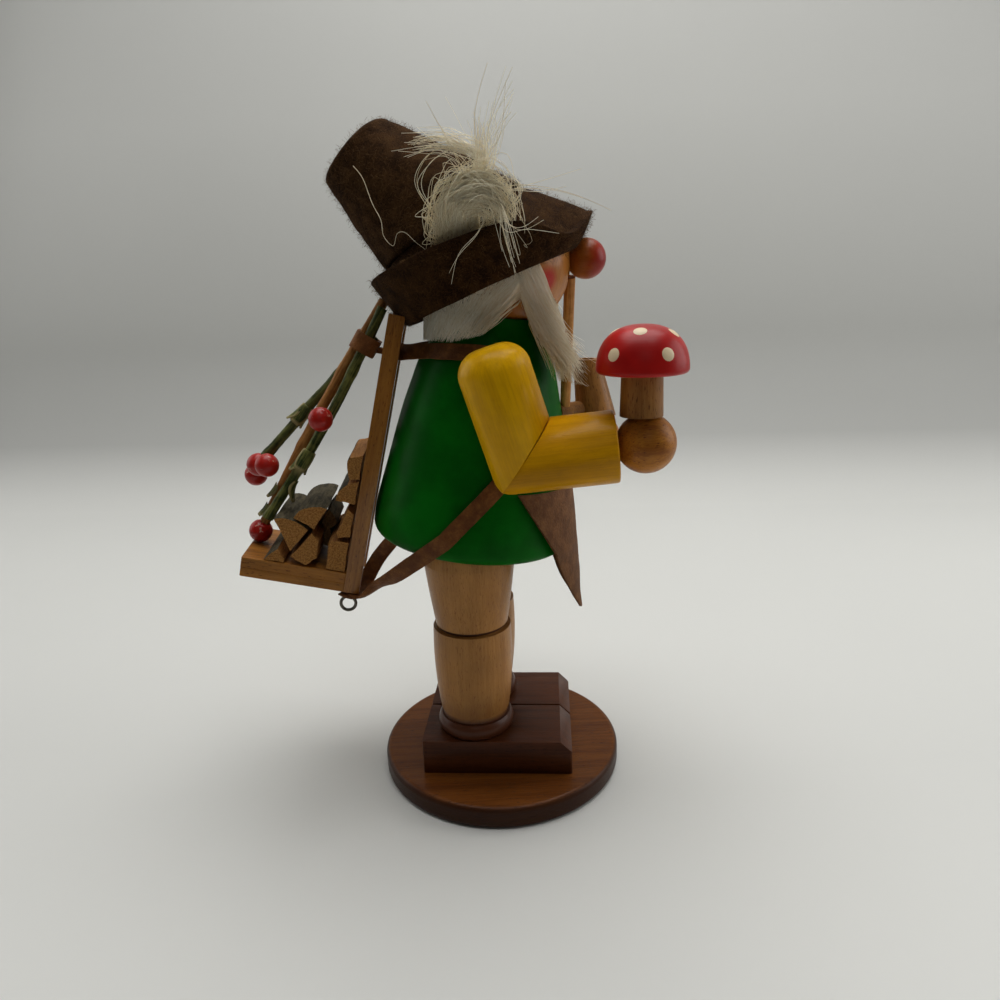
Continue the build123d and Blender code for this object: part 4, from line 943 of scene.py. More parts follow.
def run_tree(piece, tree, values):
    """Runs a tree on a piece with given inputs and keeps the mesh that it makes."""
    modifier = piece.modifiers.new(tree.name, "NODES")
    modifier.node_group = tree
    for item in tree.interface.items_tree:
        if item.item_type == "SOCKET" and item.in_out == "INPUT" and item.name in values:
            modifier[item.identifier] = values[item.name]
    return settle(piece)


def felt_fuzz_tree():
    """Short curved fibres scattered over a surface, with the surface kept."""
    inputs = [("Fibres per square metre", VALUE, 4e5), ("Length", VALUE, 0.0014)]
    inputs += [("Thickness", VALUE, 0.00005), ("Seed", "NodeSocketInt", 3)]
    inputs.append(("Fibre", "NodeSocketMaterial", None))
    tree, start, end = geometry_tree("felt_fuzz", inputs)
    scatter_inputs = {"Mesh": start["Geometry"], "Seed": start["Seed"]}
    scatter_inputs["Density"] = start["Fibres per square metre"]
    scatter = node(tree, "GeometryNodeDistributePointsOnFaces", scatter_inputs)
    line_inputs = {"Resolution": 2, "Start": (0, 0, 0), "Start Handle": (0, 0, 0.5)}
    line_inputs.update({"End Handle": (0.2, 0, 0.8), "End": (0.7, 0, 1.0)})
    line = node(tree, "GeometryNodeCurvePrimitiveBezierSegment", line_inputs)
    length = start["Length"]
    sized = node(tree, "ShaderNodeCombineXYZ", {0: length, 1: length, 2: length}).outputs["Vector"]
    scaled = node(tree, "GeometryNodeTransform", {"Geometry": line.outputs["Curve"], "Scale": sized})
    ring = node(tree, "GeometryNodeCurvePrimitiveCircle", {"Resolution": 3, "Radius": start["Thickness"]})
    fibre_inputs = {"Curve": scaled.outputs["Geometry"], "Profile Curve": ring.outputs["Curve"]}
    fibre = node(tree, "GeometryNodeCurveToMesh", fibre_inputs)
    wild = node(tree, "FunctionNodeRandomValue", data_type="FLOAT_VECTOR")
    wild.inputs[0].default_value = [-turn for turn in FIBRE_TURNS]
    wild.inputs[1].default_value = FIBRE_TURNS
    tree.links.new(start["Seed"], wild.inputs["Seed"])
    turn_inputs = {"Rotation": scatter.outputs["Rotation"], "Rotate By": wild.outputs[0]}
    turned = node(tree, "FunctionNodeRotateRotation", turn_inputs, rotation_space="LOCAL")
    sizes = node(tree, "FunctionNodeRandomValue", data_type="FLOAT")
    sizes.inputs[2].default_value = FIBRE_SIZES[0]
    sizes.inputs[3].default_value = FIBRE_SIZES[1]
    instance_inputs = {"Points": scatter.outputs["Points"], "Instance": fibre.outputs["Mesh"]}
    instance_inputs.update({"Rotation": turned.outputs[0], "Scale": sizes.outputs[1]})
    placed = node(tree, "GeometryNodeInstanceOnPoints", instance_inputs)
    loose = node(tree, "GeometryNodeRealizeInstances", {"Geometry": placed.outputs["Instances"]})
    coloured_inputs = {"Geometry": loose.outputs["Geometry"], "Material": start["Fibre"]}
    coloured = node(tree, "GeometryNodeSetMaterial", coloured_inputs)
    both = node(tree, "GeometryNodeJoinGeometry")
    tree.links.new(start["Geometry"], both.inputs["Geometry"])
    tree.links.new(coloured.outputs["Geometry"], both.inputs["Geometry"])
    tree.links.new(both.outputs["Geometry"], end["Geometry"])
    return tree


felt_fuzz = felt_fuzz_tree()
print("felt tree inputs", [item.name for item in felt_fuzz.interface.items_tree])

# %% Hat crown
CROWN_AT = Vector((-12.4, 0, 240.5))
CROWN_TILT = 28.9
CROWN_ALONG = 31.2
CROWN_ACROSS = 33.0
CROWN_TOP_AT = Vector((-50, 0, 270.4))
CROWN_TOP_TILT = 44.0
CROWN_TOP_RADIUS = 16.4
CROWN_ROUND = 3.2
CROWN_ROUND_STEPS = 6
CROWN_TOP_INSETS = (7.5, 10.5, 13.5, 16.2)
CROWN_DISH = 0.0075
CROWN_SIDES = 96
CROWN_ROWS = 26
INSIDE_ROWS = 8
# Size and depth of the felt's lumps
CROWN_LUMPS = [(13, 0.9), (4, 0.25)]
FELT = 3.0


def mixed(first, second, share):
    """Value or vector between two others."""
    return first + (second - first) * share


def felt_wave(point, size, depth):
    """Slow lumps of felt, from a noise field."""
    return depth * noise.noise(point / size)


def crown_ring(share, inset, rise):
    """Oval ring of the crown at a share of its length, drawn in by an inset and raised along its axis."""
    centre = mixed(CROWN_AT, CROWN_TOP_AT, share)
    tilt = math.radians(mixed(CROWN_TILT, CROWN_TOP_TILT, share))
    along = Vector((math.cos(tilt), 0, math.sin(tilt)))
    axis = Vector((-math.sin(tilt), 0, math.cos(tilt)))
    half_along = mixed(CROWN_ALONG, CROWN_TOP_RADIUS, share) - inset
    half_across = mixed(CROWN_ACROSS, CROWN_TOP_RADIUS, share) - inset
    ring = []
    for step in range(CROWN_SIDES):
        turn = 2 * math.pi * step / CROWN_SIDES
        outward = along * math.cos(turn) + Vector((0, math.sin(turn), 0))
        point = centre + axis * rise
        point = point + along * (half_along * math.cos(turn))
        point = point + Vector((0, half_across * math.sin(turn), 0))
        lump = sum(felt_wave(point, size, depth) for size, depth in CROWN_LUMPS)
        ring.append(point + outward * (lump * min(1, half_along / CROWN_TOP_RADIUS)))
    return ring


def rings_to_faces(rows, sides):
    """Quads between closed rings of points."""
    faces = []
    for row in range(rows - 1):
        for step in range(sides):
            after = (step + 1) % sides
            low, high = row * sides, (row + 1) * sides
            faces.append((low + step, low + after, high + after, high + step))
    return faces


def capped_rings(rows, sides):
    """Quads between closed rings of points, with a cap on the first and the last ring."""
    last = (rows - 1) * sides
    caps = [tuple(range(sides)), tuple(last + step for step in range(sides))]
    return rings_to_faces(rows, sides) + caps


def hat_crown():
    """Crown as one closed skin: outside, rounded top and the inside wall."""
    length = (CROWN_TOP_AT - CROWN_AT).length
    shoulder = 1 - CROWN_ROUND / length
    rings = [crown_ring(shoulder * row / CROWN_ROWS, 0, 0) for row in range(CROWN_ROWS + 1)]
    for step in range(1, CROWN_ROUND_STEPS + 1):
        turn = math.pi / 2 * step / CROWN_ROUND_STEPS
        rings.append(crown_ring(shoulder, CROWN_ROUND * (1 - math.cos(turn)), CROWN_ROUND * math.sin(turn)))
    for inset in CROWN_TOP_INSETS:
        rings.append(crown_ring(shoulder, inset, CROWN_ROUND - CROWN_DISH * (inset - CROWN_ROUND) ** 2))
    inside = [crown_ring(shoulder * row / INSIDE_ROWS, FELT, 0) for row in range(INSIDE_ROWS + 1)]
    rows = inside[::-1] + rings
    points = [point * MM for ring in rows for point in ring]
    return points, capped_rings(len(rows), CROWN_SIDES)


FUZZ = {
    "Fibres per square metre": 5.8e5,
    "Length": 1.5 * MM,
    "Thickness": 0.032 * MM,
    "Seed": 5,
    "Fibre": fuzz_brown,
}
crown_points, crown_faces = hat_crown()
crown = finished("felt_crown", crown_points, crown_faces, felt_brown, "figure", ("hat_crown",))
run_tree(crown, felt_fuzz, FUZZ)
print("crown faces", len(crown.data.polygons))

# %% Hat brim
FOLD_X = 3.0
FOLD_ALONG = 36.5
FOLD_ACROSS = 36.0
FOLD_HEIGHT = 215.2
FOLD_SLOPE = 0.394
FOLD_NOSE_LIFT = 5.2
FOLD_NOSE_SPAN = 20
EDGE_X = -1.3
EDGE_ALONG = 45.0
EDGE_ACROSS = 43.0
EDGE_HEIGHT = 233.0
EDGE_SLOPE = 0.29
EDGE_SIDE_LIFT = 3.5
VISOR_DIP = 9.5
VISOR_DIP_AT = 38
VISOR_DIP_SPAN = 22
BRIM_SECTIONS = 90
CUT_EDGES = 0.75
CUT_CORNERS = (2, 3)
BRIM_LUMP = (12, 0.7)
BRIM_LUMP_RISE = 0.4


def ring_reach(angle, centre, along, across):
    """Distance from the upright line to an oval ring that is centred on X, in one direction."""
    a = (math.cos(angle) / along) ** 2 + (math.sin(angle) / across) ** 2
    b = -centre * math.cos(angle) / along**2
    c = (centre / along) ** 2 - 1
    return (-b + math.sqrt(b * b - a * c)) / a


def brim_section(angle):
    """Outline of the brim in the upright plane at an angle from the front, as reach and height."""
    ahead = math.cos(angle)
    back = (1 - ahead) / 2
    tilt = math.radians(CROWN_TILT)
    crown_reach = ring_reach(angle, CROWN_AT.x, CROWN_ALONG * math.cos(tilt), CROWN_ACROSS)
    inner_reach = ring_reach(angle, CROWN_AT.x, (CROWN_ALONG - FELT) * math.cos(tilt), CROWN_ACROSS - FELT)
    crown_z = CROWN_AT.z + math.tan(tilt) * (crown_reach * ahead - CROWN_AT.x)
    inner_z = CROWN_AT.z + math.tan(tilt) * (inner_reach * ahead - CROWN_AT.x)
    fold_reach = ring_reach(angle, FOLD_X, FOLD_ALONG, FOLD_ACROSS)
    off_nose = abs(math.degrees(math.atan2(math.sin(angle), math.cos(angle))))
    nose_lift = FOLD_NOSE_LIFT * max(0, 1 - off_nose / FOLD_NOSE_SPAN)
    fold_z = FOLD_HEIGHT + FOLD_SLOPE * fold_reach * ahead + nose_lift
    edge_reach = ring_reach(angle, EDGE_X, EDGE_ALONG, EDGE_ACROSS)
    dip = VISOR_DIP * math.exp(-(((off_nose - VISOR_DIP_AT) / VISOR_DIP_SPAN) ** 2))
    edge_z = EDGE_HEIGHT + EDGE_SLOPE * edge_reach * ahead + EDGE_SIDE_LIFT * abs(math.sin(angle)) - dip
    edge_inner = edge_reach - FELT
    turn_up = back**0.5
    notch_reach = mixed(edge_inner, fold_reach - 0.2 * FELT, turn_up)
    notch_z = mixed(edge_z + 0.25 * FELT, fold_z + 1.6 * FELT, turn_up)
    inside_reach = mixed(fold_reach - FELT, (fold_reach - FELT + inner_reach) / 2, back)
    inside_z = mixed(edge_z - 1.2 * FELT, (fold_z + inner_z) / 2, back)
    return [
        (crown_reach, crown_z),
        (notch_reach, notch_z),
        (edge_inner, edge_z + 0.05 * FELT),
        (edge_reach, edge_z),
        (fold_reach, fold_z),
        (fold_reach - FELT, fold_z + 0.2 * FELT),
        (inside_reach, inside_z),
        (inner_reach, inner_z),
    ]


def hat_brim():
    """Brim lofted round the head from its sections, with slow lumps."""
    points = []
    for step in range(BRIM_SECTIONS):
        angle = 2 * math.pi * step / BRIM_SECTIONS
        for reach, height in brim_section(angle):
            point = Vector((reach * math.cos(angle), reach * math.sin(angle), height))
            lump = felt_wave(point, *BRIM_LUMP)
            points.append(point + Vector((math.cos(angle), math.sin(angle), BRIM_LUMP_RISE)) * lump)
    corners = len(brim_section(0))
    faces = rings_to_faces(BRIM_SECTIONS, corners)
    last = (BRIM_SECTIONS - 1) * corners
    for step in range(corners):
        after = (step + 1) % corners
        faces.append((last + step, last + after, after, step))
    return [point * MM for point in points], faces


brim_points, brim_faces = hat_brim()
brim = finished("felt_brim", brim_points, brim_faces, brim_felt_shaded, "figure", ("hat_brim",))
creases = brim.data.attributes.new("crease_edge", "FLOAT", "EDGE")
corner_count = len(brim_section(0))
for edge in brim.data.edges:
    first, second = edge.vertices
    same_line = first % corner_count == second % corner_count
    is_cut = same_line and first % corner_count in CUT_CORNERS
    creases.data[edge.index].value = CUT_EDGES if is_cut else 0.0
smoothing = brim.modifiers.new("felt", "SUBSURF")
smoothing.levels = 2
smoothing.render_levels = 2
settle(brim)
run_tree(brim, felt_fuzz, {**FUZZ, "Seed": 8})
print("brim faces", len(brim.data.polygons))

# %% [markdown]
# ## Fur and the tuft
# Hair and beard are strips of white fur glued to the head, and the tuft is a bunch of long blond hair stuck
# behind the brim. Every strand starts as a line of points that Python lays out with a fixed seed. A Geometry
# Nodes tree then gives each line a thin tapered tube, because the export needs a mesh and not hair curves.

# %% Strand tree
FUR_SHINE = 0.6


def strand_tree():
    """Tubes that taper along lines of edges, note how far along they are, and have a tone each."""
    inputs = [("Root radius", VALUE, 0.0001), ("Tip share", VALUE, 0.25)]
    inputs.append(("Strand", "NodeSocketMaterial", None))
    tree, start, end = geometry_tree("strand_tubes", inputs)
    lines = node(tree, "GeometryNodeMeshToCurve", {"Mesh": start["Geometry"]})
    along = node(tree, "GeometryNodeSplineParameter").outputs["Factor"]
    share = node(tree, "ShaderNodeMapRange", {"Value": along, 1: 0.3, 2: 1.0, 3: 1.0})
    tree.links.new(start["Tip share"], share.inputs[4])
    radius = calc(tree, "MULTIPLY", share.outputs["Result"], start["Root radius"])
    sized = node(tree, "GeometryNodeSetCurveRadius", {"Curve": lines.outputs["Curve"], "Radius": radius})
    noted_inputs = {"Geometry": sized.outputs["Curve"], "Name": "along", "Value": along}
    noted = node(tree, "GeometryNodeStoreNamedAttribute", noted_inputs)
    pick = node(tree, "FunctionNodeRandomValue", data_type="FLOAT")
    toned_inputs = {"Geometry": noted.outputs["Geometry"], "Name": "tone", "Value": pick.outputs[1]}
    toned = node(tree, "GeometryNodeStoreNamedAttribute", toned_inputs, domain="CURVE")
    ring = node(tree, "GeometryNodeCurvePrimitiveCircle", {"Resolution": 3, "Radius": 1.0})
    tube_inputs = {"Curve": toned.outputs["Geometry"], "Profile Curve": ring.outputs["Curve"]}
    tube_inputs["Scale"] = radius
    tubes = node(tree, "GeometryNodeCurveToMesh", tube_inputs)
    coloured_inputs = {"Geometry": tubes.outputs["Mesh"], "Material": start["Strand"]}
    coloured = node(tree, "GeometryNodeSetMaterial", coloured_inputs)
    loose = node(tree, "GeometryNodeRealizeInstances", {"Geometry": coloured.outputs["Geometry"]})
    tree.links.new(loose.outputs["Geometry"], end["Geometry"])
    return tree


def fur_finish(name, root, tip):
    """Hair that is darker at its root, with strands of differing tone."""
    material, tree, shader = new_material(name, 0.4, FUR_SHINE)
    along = noted_value(tree, "along")
    tone = noted_value(tree, "tone")
    from_root = remap(tree, along, 0.0, 0.5, 0.35, 1.0)
    by_strand = remap(tree, tone, 0.0, 0.8, 0.15, 1.0)
    share = calc(tree, "MULTIPLY", from_root, by_strand)
    tree.links.new(mix_colours(tree, share, (*root, 1), (*tip, 1)), shader.inputs["Base Color"])
    shader.inputs["Sheen Weight"].default_value = 1.0
    shader.inputs["Sheen Roughness"].default_value = 0.45
    shader.inputs["Sheen Tint"].default_value = (1.0, 0.90, 0.70, 1)
    return material


def strand_piece(name, strands, material, radius, tip, replaced):
    """Strands in metres as one piece of tapered tubes."""
    points, edges = [], []
    for strand in strands:
        first = len(points)
        points += strand
        edges += [(first + step, first + step + 1) for step in range(len(strand) - 1)]
    mesh = bpy.data.meshes.new(name)
    mesh.from_pydata(points, edges, [])
    piece = bpy.data.objects.new(name, mesh)
    scene.collection.objects.link(piece)
    run_tree(piece, strand_tubes, {"Root radius": radius * MM, "Tip share": tip, "Strand": material})
    piece.data.shade_smooth()
    print(name, "strands", len(strands), "faces", len(piece.data.polygons))
    return hand_over(piece, "figure", replaced)


strand_tubes = strand_tree()
white_fur = fur_finish("white_fur", (0.84, 0.73, 0.52), (1.0, 0.96, 0.82))
blond_hair = fur_finish("blond_hair", (0.72, 0.57, 0.31), (1.0, 0.94, 0.72))
print("strand tree inputs", [item.name for item in strand_tubes.interface.items_tree])

# %% Smooth lines


def smooth_line(values, steps):
    """Points on a smooth curve through given vectors."""
    line = []
    for index in range(len(values) - 1):
        before = values[max(index - 1, 0)]
        start, end = values[index], values[index + 1]
        after = values[min(index + 2, len(values) - 1)]
        for step in range(steps):
            t = step / steps
            bend = start * 2 + (end - before) * t
            bend += (before * 2 - start * 5 + end * 4 - after) * t**2
            bend += (start * 3 - before - end * 3 + after) * t**3
            line.append(bend * 0.5)
    return line + [values[-1]]


# %% Hair under the brim
HAIR_STRANDS = 4600
HAIR_FROM = 68
HAIR_FEET = [(68, 110), (77, 104), (84, 95), (92, 88.6), (121, 84.4), (180, 82.4)]
HAIR_OUTSIDE = [(80, 27.2), (90, 27.8), (100, 29.2), (108, 30.8), (120, 31.6)]
HAIR_ROOTS = 119
HAIR_RADIUS = 29
HAIR_LENGTHS = (11, 19)
HAIR_SLANTS = (50, 4)
HAIR_STRAY = 7
HAIR_RISE_RATE = 0.22
HAIR_RISE_LIMIT = 15
HAIR_DROP = 0.6
HAIR_GAP = 0.3
HAIR_LEAST = 0.5
HAIR_STEPS = 7


def table_value(table, key):
    """Value read between the rows of a short table."""
    for (low, low_value), (high, high_value) in zip(table, table[1:]):
        if key <= high:
            return mixed(low_value, high_value, max(0, (key - low) / (high - low)))
    return table[-1][1]


def body_reach(height, angle):
    """Distance from the axis to the coat or head, in millimetres."""
    return (on_body(height, angle)[0] - on_axis(height)).length / MM


def hair_strands(draw):
    """Strands from under the brim, combed down and back, with most of their tips at the foot."""
    strands = []
    for count in range(HAIR_STRANDS):
        side = draw.choice((-1, 1))
        tip_angle = draw.uniform(HAIR_FROM, 180)
        rise = min(HAIR_RISE_LIMIT, draw.expovariate(HAIR_RISE_RATE))
        tip_height = table_value(HAIR_FEET, tip_angle) + rise - HAIR_DROP
        to_back = (tip_angle - HAIR_FROM) / (180 - HAIR_FROM)
        slant = math.radians(mixed(*HAIR_SLANTS, to_back**0.8) + draw.gauss(0, HAIR_STRAY))
        length = min(draw.uniform(*HAIR_LENGTHS), (HAIR_ROOTS - tip_height) / math.cos(slant))
        layer = draw.random() ** 0.6
        curl = draw.gauss(0, 0.5)
        strand = []
        for step in range(HAIR_STEPS):
            share = step / (HAIR_STEPS - 1)
            left_over = length * (1 - share)
            height = tip_height + left_over * math.cos(slant)
            swept = math.degrees(left_over * math.sin(slant) / HAIR_RADIUS)
            turn = max(HAIR_FROM - 4, tip_angle - swept + curl * math.sin(3 * share))
            inside = body_reach(height, side * turn) + HAIR_GAP
            outside = max(inside + HAIR_LEAST, table_value(HAIR_OUTSIDE, height))
            lift = layer * min(1, 0.25 + 1.2 * share)
            strand.append(on_axis(height) + radial(side * turn) * (mixed(inside, outside, lift) * MM))
        strands.append(strand)
    return strands


strand_piece("hair_fur", hair_strands(random.Random(11)), white_fur, 0.15, 0.3, ("hair",))

# %% Beard
LOCK = [
    (118, 68, 31.5, 4.6), (114.4, 64, 32, 5.2), (108, 56, 31.8, 5.8), (101.5, 46, 31, 6.4),
    (94.4, 37, 31.3, 7.0), (88.3, 32, 32.8, 7.2), (81.3, 28.5, 34, 5.4), (72.8, 26.5, 34.3, 1.8),
]
LOCK_SPAN_STEPS = 6
LOCK_STRANDS = 2100
LOCK_DEPTH = 3.2
LOCK_STARTS = (0, 0.62)
LOCK_LENGTHS = (0.28, 0.44)
LOCK_STRAY = 0.16
LOCK_FLYAWAY = 10
LANE_SPREAD = 0.62
LANE_LIMIT = 1.3
LANE_FALL = 1.3
FRINGE_STRANDS = 600
FRINGE_HALF = 36
FRINGE_ROOT = 99
FRINGE_REACH = (25.5, 29.5)
FRINGE_LENGTHS = (10, 17)
FRINGE_RISE = 4
FRINGE_STRAY = 3
FRINGE_BULGE = 2.2
FUR_GAP = 0.35
BEARD_STEPS = 8

lock_line = smooth_line([Vector(station) for station in LOCK], LOCK_SPAN_STEPS)


def on_lock(share):
    """Height, angle, reach and half width of the lock at a share of its length."""
    place = min(max(share, 0), 1) * (len(lock_line) - 1)
    before = min(int(place), len(lock_line) - 2)
    return mixed(lock_line[before], lock_line[before + 1], place - before)


def fur_point(height, turn, reach):
    """Point at a height, angle and reach, held just outside the coat and the head."""
    reach = max(body_reach(height, turn) + FUR_GAP, reach)
    return on_axis(height) + radial(turn) * (reach * MM)


def lock_strands(draw, side):
    """Strands of one side lock, which starts at the ear under the brim and hangs in front of the coat."""
    strands = []
    for count in range(LOCK_STRANDS):
        start = draw.uniform(*LOCK_STARTS)
        length = draw.uniform(*LOCK_LENGTHS)
        lane = max(-LANE_LIMIT, min(LANE_LIMIT, draw.gauss(0, LANE_SPREAD)))
        layer = draw.random() ** 0.7
        stray = draw.gauss(0, LOCK_STRAY)
        lift = abs(draw.gauss(0, LOCK_FLYAWAY)) * start
        strand = []
        for step in range(BEARD_STEPS):
            share = step / (BEARD_STEPS - 1)
            height, angle, reach, half_width = on_lock(start + length * share)
            across = (lane + stray * share) * half_width
            turn = side * (angle + math.degrees(across / reach))
            outside = reach - LANE_FALL * lane**2 - LOCK_DEPTH * (1 - layer) + lift * share**2
            strand.append(fur_point(height, turn, outside))
        strands.append(strand)
    return strands


def fringe_strands(draw):
    """Short strands under the chin, between the two locks."""
    strands = []
    for count in range(FRINGE_STRANDS):
        angle = draw.uniform(-FRINGE_HALF, FRINGE_HALF)
        jitter = draw.uniform(-FRINGE_STRAY, FRINGE_STRAY)
        start = FRINGE_ROOT + jitter + FRINGE_RISE * (angle / FRINGE_HALF) ** 2
        length = draw.uniform(*FRINGE_LENGTHS)
        layer = draw.random()
        drift = draw.gauss(0, FRINGE_STRAY)
        strand = []
        for step in range(BEARD_STEPS):
            share = step / (BEARD_STEPS - 1)
            height = start - length * share
            turn = angle + drift * share
            hang = mixed(*FRINGE_REACH, share) + FRINGE_BULGE * layer * math.sin(2.5 * share)
            strand.append(fur_point(height, turn, hang))
        strands.append(strand)
    return strands


beard_draw = random.Random(23)
beard = lock_strands(beard_draw, -1) + lock_strands(beard_draw, 1) + fringe_strands(beard_draw)
strand_piece("beard_fur", beard, white_fur, 0.15, 0.25, ("beard",))

# %% Tuft on the hat
TUFT_SIDE = -38
BALL_AT = Vector((0.5, 0, 238))
BALL_WIDE = 15
BALL_TALL = 18
BALL_END = Vector((10, -37, 234))
BRIM_EDGE = 237
BALL_STRANDS = 360
BALL_TURNS = (-92, -62, -22, 20, 58, 95)
BALL_CLEARS = 9
TUFT_STEPS = 5
TUFT_BUNCHES = [
    (70, 2.2, [
        (-1, -37, 236), (2, -41, 250), (3.2, -38, 260), (-4, -33, 265), (-12, -29, 267.2), (-25, -22, 267.5),
    ]),
    (46, 3.0, [(-3, -37, 236), (1, -41, 250), (3.4, -38, 262), (4, -37, 271)]),
    (9, 3.4, [(-2, -37, 236), (3, -40, 254), (6.5, -37.5, 270), (12.5, -36.5, 286)]),
    (7, 4.0, [(-2, -37, 236), (4, -40, 256), (9, -38, 269), (16, -36, 279)]),
    (6, 3.4, [(-4, -37, 236), (-3, -41, 254), (-8, -37, 267), (-15.5, -35, 279)]),
    (12, 1.8, [(0, -38, 244), (5, -42, 247), (8.9, -44.5, 243.2), (11, -45.5, 232.4), (13.5, -43, 221)]),
    (2, 2.4, [(4, -40, 243), (1, -43.5, 236), (-5, -44.5, 229), (-11.7, -44, 219.6)]),
    (3, 2.4, [(6, -41, 244), (11, -44, 237), (18, -45, 235.5), (26.2, -44, 237.6)]),
    (2, 1.8, [(2, -40, 246), (12, -41, 250), (24, -39, 251), (41.8, -36, 256.4)]),
    (2, 1.8, [(2, -40, 246), (13, -41, 249), (30, -39, 248.5), (47.8, -35, 243.4)]),
    (4, 1.3, [
        (-7, -38, 236), (-15, -42, 244), (-18.9, -42, 252.4), (-15, -42, 259.5), (-9, -42, 261.6),
        (-3, -42, 257), (0.3, -43, 248.4),
    ]),
    (4, 1.6, [(0, -38, 236), (10, -43, 246), (12, -43, 254), (6, -43, 259), (-1, -43, 256), (-4, -43, 249)]),
    (5, 1.6, [
        (2, -38, 237), (13, -43, 243), (16.5, -43, 248), (13, -43, 252.5), (7, -43, 249), (9, -43, 242),
    ]),
    (5, 1.8, [
        (-2, -38, 236), (-9, -43, 247), (-4, -43.5, 254), (6, -43.5, 252.5), (11, -43, 245), (10, -43, 239),
    ]),
]
LONG_CURL = [
    (-42.6, -34.5, 260), (-39.4, -35, 255.7), (-36.5, -36, 247.4), (-33.7, -36.5, 241.6), (-33, -37, 236.2),
    (-29.7, -37.5, 232.7), (-27.9, -38, 236.7), (-25, -38, 237), (-21.6, -38, 233.8), (-17.5, -38, 230.6),
]


def ball_strand(draw):
    """Strand that rises behind the brim, arches over and comes down to where the tuft is drawn together."""
    size = draw.uniform(0.05, 1.0) ** 0.6
    middle = BALL_AT + Vector((draw.gauss(0, 1.6), 0, draw.gauss(0, 1.6)))
    out = TUFT_SIDE - 1.5 - 5.5 * math.sqrt(1 - 0.8 * size**2) - draw.random()
    reach = draw.uniform(0.55, 1.0)
    bends = [Vector((mixed(1, -10, size) + draw.gauss(0, 0.8), TUFT_SIDE + 1, mixed(236, 234, size)))]
    for turn in BALL_TURNS[: 2 + round(4 * reach)]:
        around = math.radians(turn + draw.gauss(0, 10))
        bow = size * (1 + draw.gauss(0, 0.13))
        point = middle + Vector((BALL_WIDE * math.sin(around), 0, BALL_TALL * math.cos(around))) * bow
        clear = min(1, max(0, (point.z - BRIM_EDGE) / BALL_CLEARS))
        point.y = mixed(TUFT_SIDE + 1, out, clear) + draw.gauss(0, 0.7) * clear
        bends.append(point)
    if reach > 0.9:
        bends.append(BALL_END + Vector((draw.gauss(0, 1.5), 0, draw.gauss(0, 1.5))))
    return [point * MM for point in smooth_line(bends, TUFT_STEPS)]


def tuft_strands(draw):
    """Ball of curled hair, then thinner bunches, wisps and loops that are listed one by one."""
    strands = [ball_strand(draw) for count in range(BALL_STRANDS)]
    for count, spread, path in TUFT_BUNCHES:
        for strand in range(count):
            lean = Vector((draw.gauss(0, 1), draw.gauss(0, 0.4), draw.gauss(0, 1)))
            bends = []
            for index, place in enumerate(path):
                share = index / (len(path) - 1)
                shake = Vector((draw.gauss(0, 0.4), draw.gauss(0, 0.15), draw.gauss(0, 0.4)))
                bends.append(Vector(place) + (lean * share + shake) * spread)
            line = smooth_line(bends, TUFT_STEPS)
            kept = max(4, round(len(line) * draw.uniform(0.8, 1.0)))
            strands.append([point * MM for point in line[:kept]])
    strands.append([point * MM for point in smooth_line([Vector(place) for place in LONG_CURL], TUFT_STEPS)])
    return strands


strand_piece("tuft_hair", tuft_strands(random.Random(37)), blond_hair, 0.12, 0.6, ("hat_tuft",))

# %% [markdown]
# ## Leather
# Straps, apron and the twig band are cut from thin leather. A strap is a flat band that is swept along a
# smooth route: down from the carrier's top slat, round the neck, under the arm and back to the eye below the
# post. Its places on the coat are found by casting rays, so the leather lies on the paint.

# %% Leather finishes
LEATHER_RELIEF = 0.10


def leather_finish(name, light, dark, roughness):
    """Leather with pores, rubbed patches and a dull polish."""
    material, tree, shader = new_material(name, roughness)
    place = object_place(tree)
    inputs = {"Vector": place, "Light": (*light, 1), "Dark": (*dark, 1)}
    grained = node(tree, "ShaderNodeGroup", inputs, node_tree=leather_grain)
    tree.links.new(grained.outputs["Colour"], shader.inputs["Base Color"])
    bump(tree, shader, grained.outputs["Height"], LEATHER_RELIEF * MM)
    return material


strap_leather = leather_finish("strap_leather", (0.225, 0.085, 0.020), (0.105, 0.036, 0.009), 0.62)
apron_leather = leather_finish("apron_leather", (0.190, 0.083, 0.030), (0.100, 0.040, 0.014), 0.72)
band_leather = leather_finish("band_leather", (0.27, 0.105, 0.030), (0.14, 0.05, 0.013), 0.66)
print("leather", [leather.name for leather in (strap_leather, apron_leather, band_leather)])

# %% Straps
LEATHER = 1.2
STRAP_WIDTH = 6.8
STRAP_LIFT = 1.3
SPAN_STEPS = 7
COAT_HEIGHT = 95
TACK_HEIGHT = 104
SLAT_FRONT = -1.3
EYE_AHEAD = -3.8
EYE_SIDE = -16.5
GLUE = 0.05
STRAP_START = (2.5, 9)
STRAP_TAB = (7, 0, -4.5)
EDGE_WOBBLE = 0.03
STRAP_OVER = [
    (0.827, 145), (0.836, 130), (0.844, 113), (0.85, 96), (0.847, 78), (0.82, 64), (0.75, 54), (0.653, 49.5),
    (0.558, 51), (0.484, 57.5), (0.426, 64), (0.379, 70), (0.328, 75.6),
]
STRAP_UNDER_RIGHT = [(0.261, 83.2), (0.173, 92.6), (0.127, 97.1), (0.088, 101.3)]
STRAP_UNDER_LEFT = [(0.273, 82), (0.195, 90), (0.105, 100)]
STRAP_FREE_RIGHT = [
    ((28.7, -19.1, 17.2), (-0.5, -0.75, -0.4)),
    ((21, -13.6, 10.8), (-0.35, -0.6, -0.7)),
    ((13.2, -7.1, 5.1), (-0.2, -0.3, -0.95)),
]
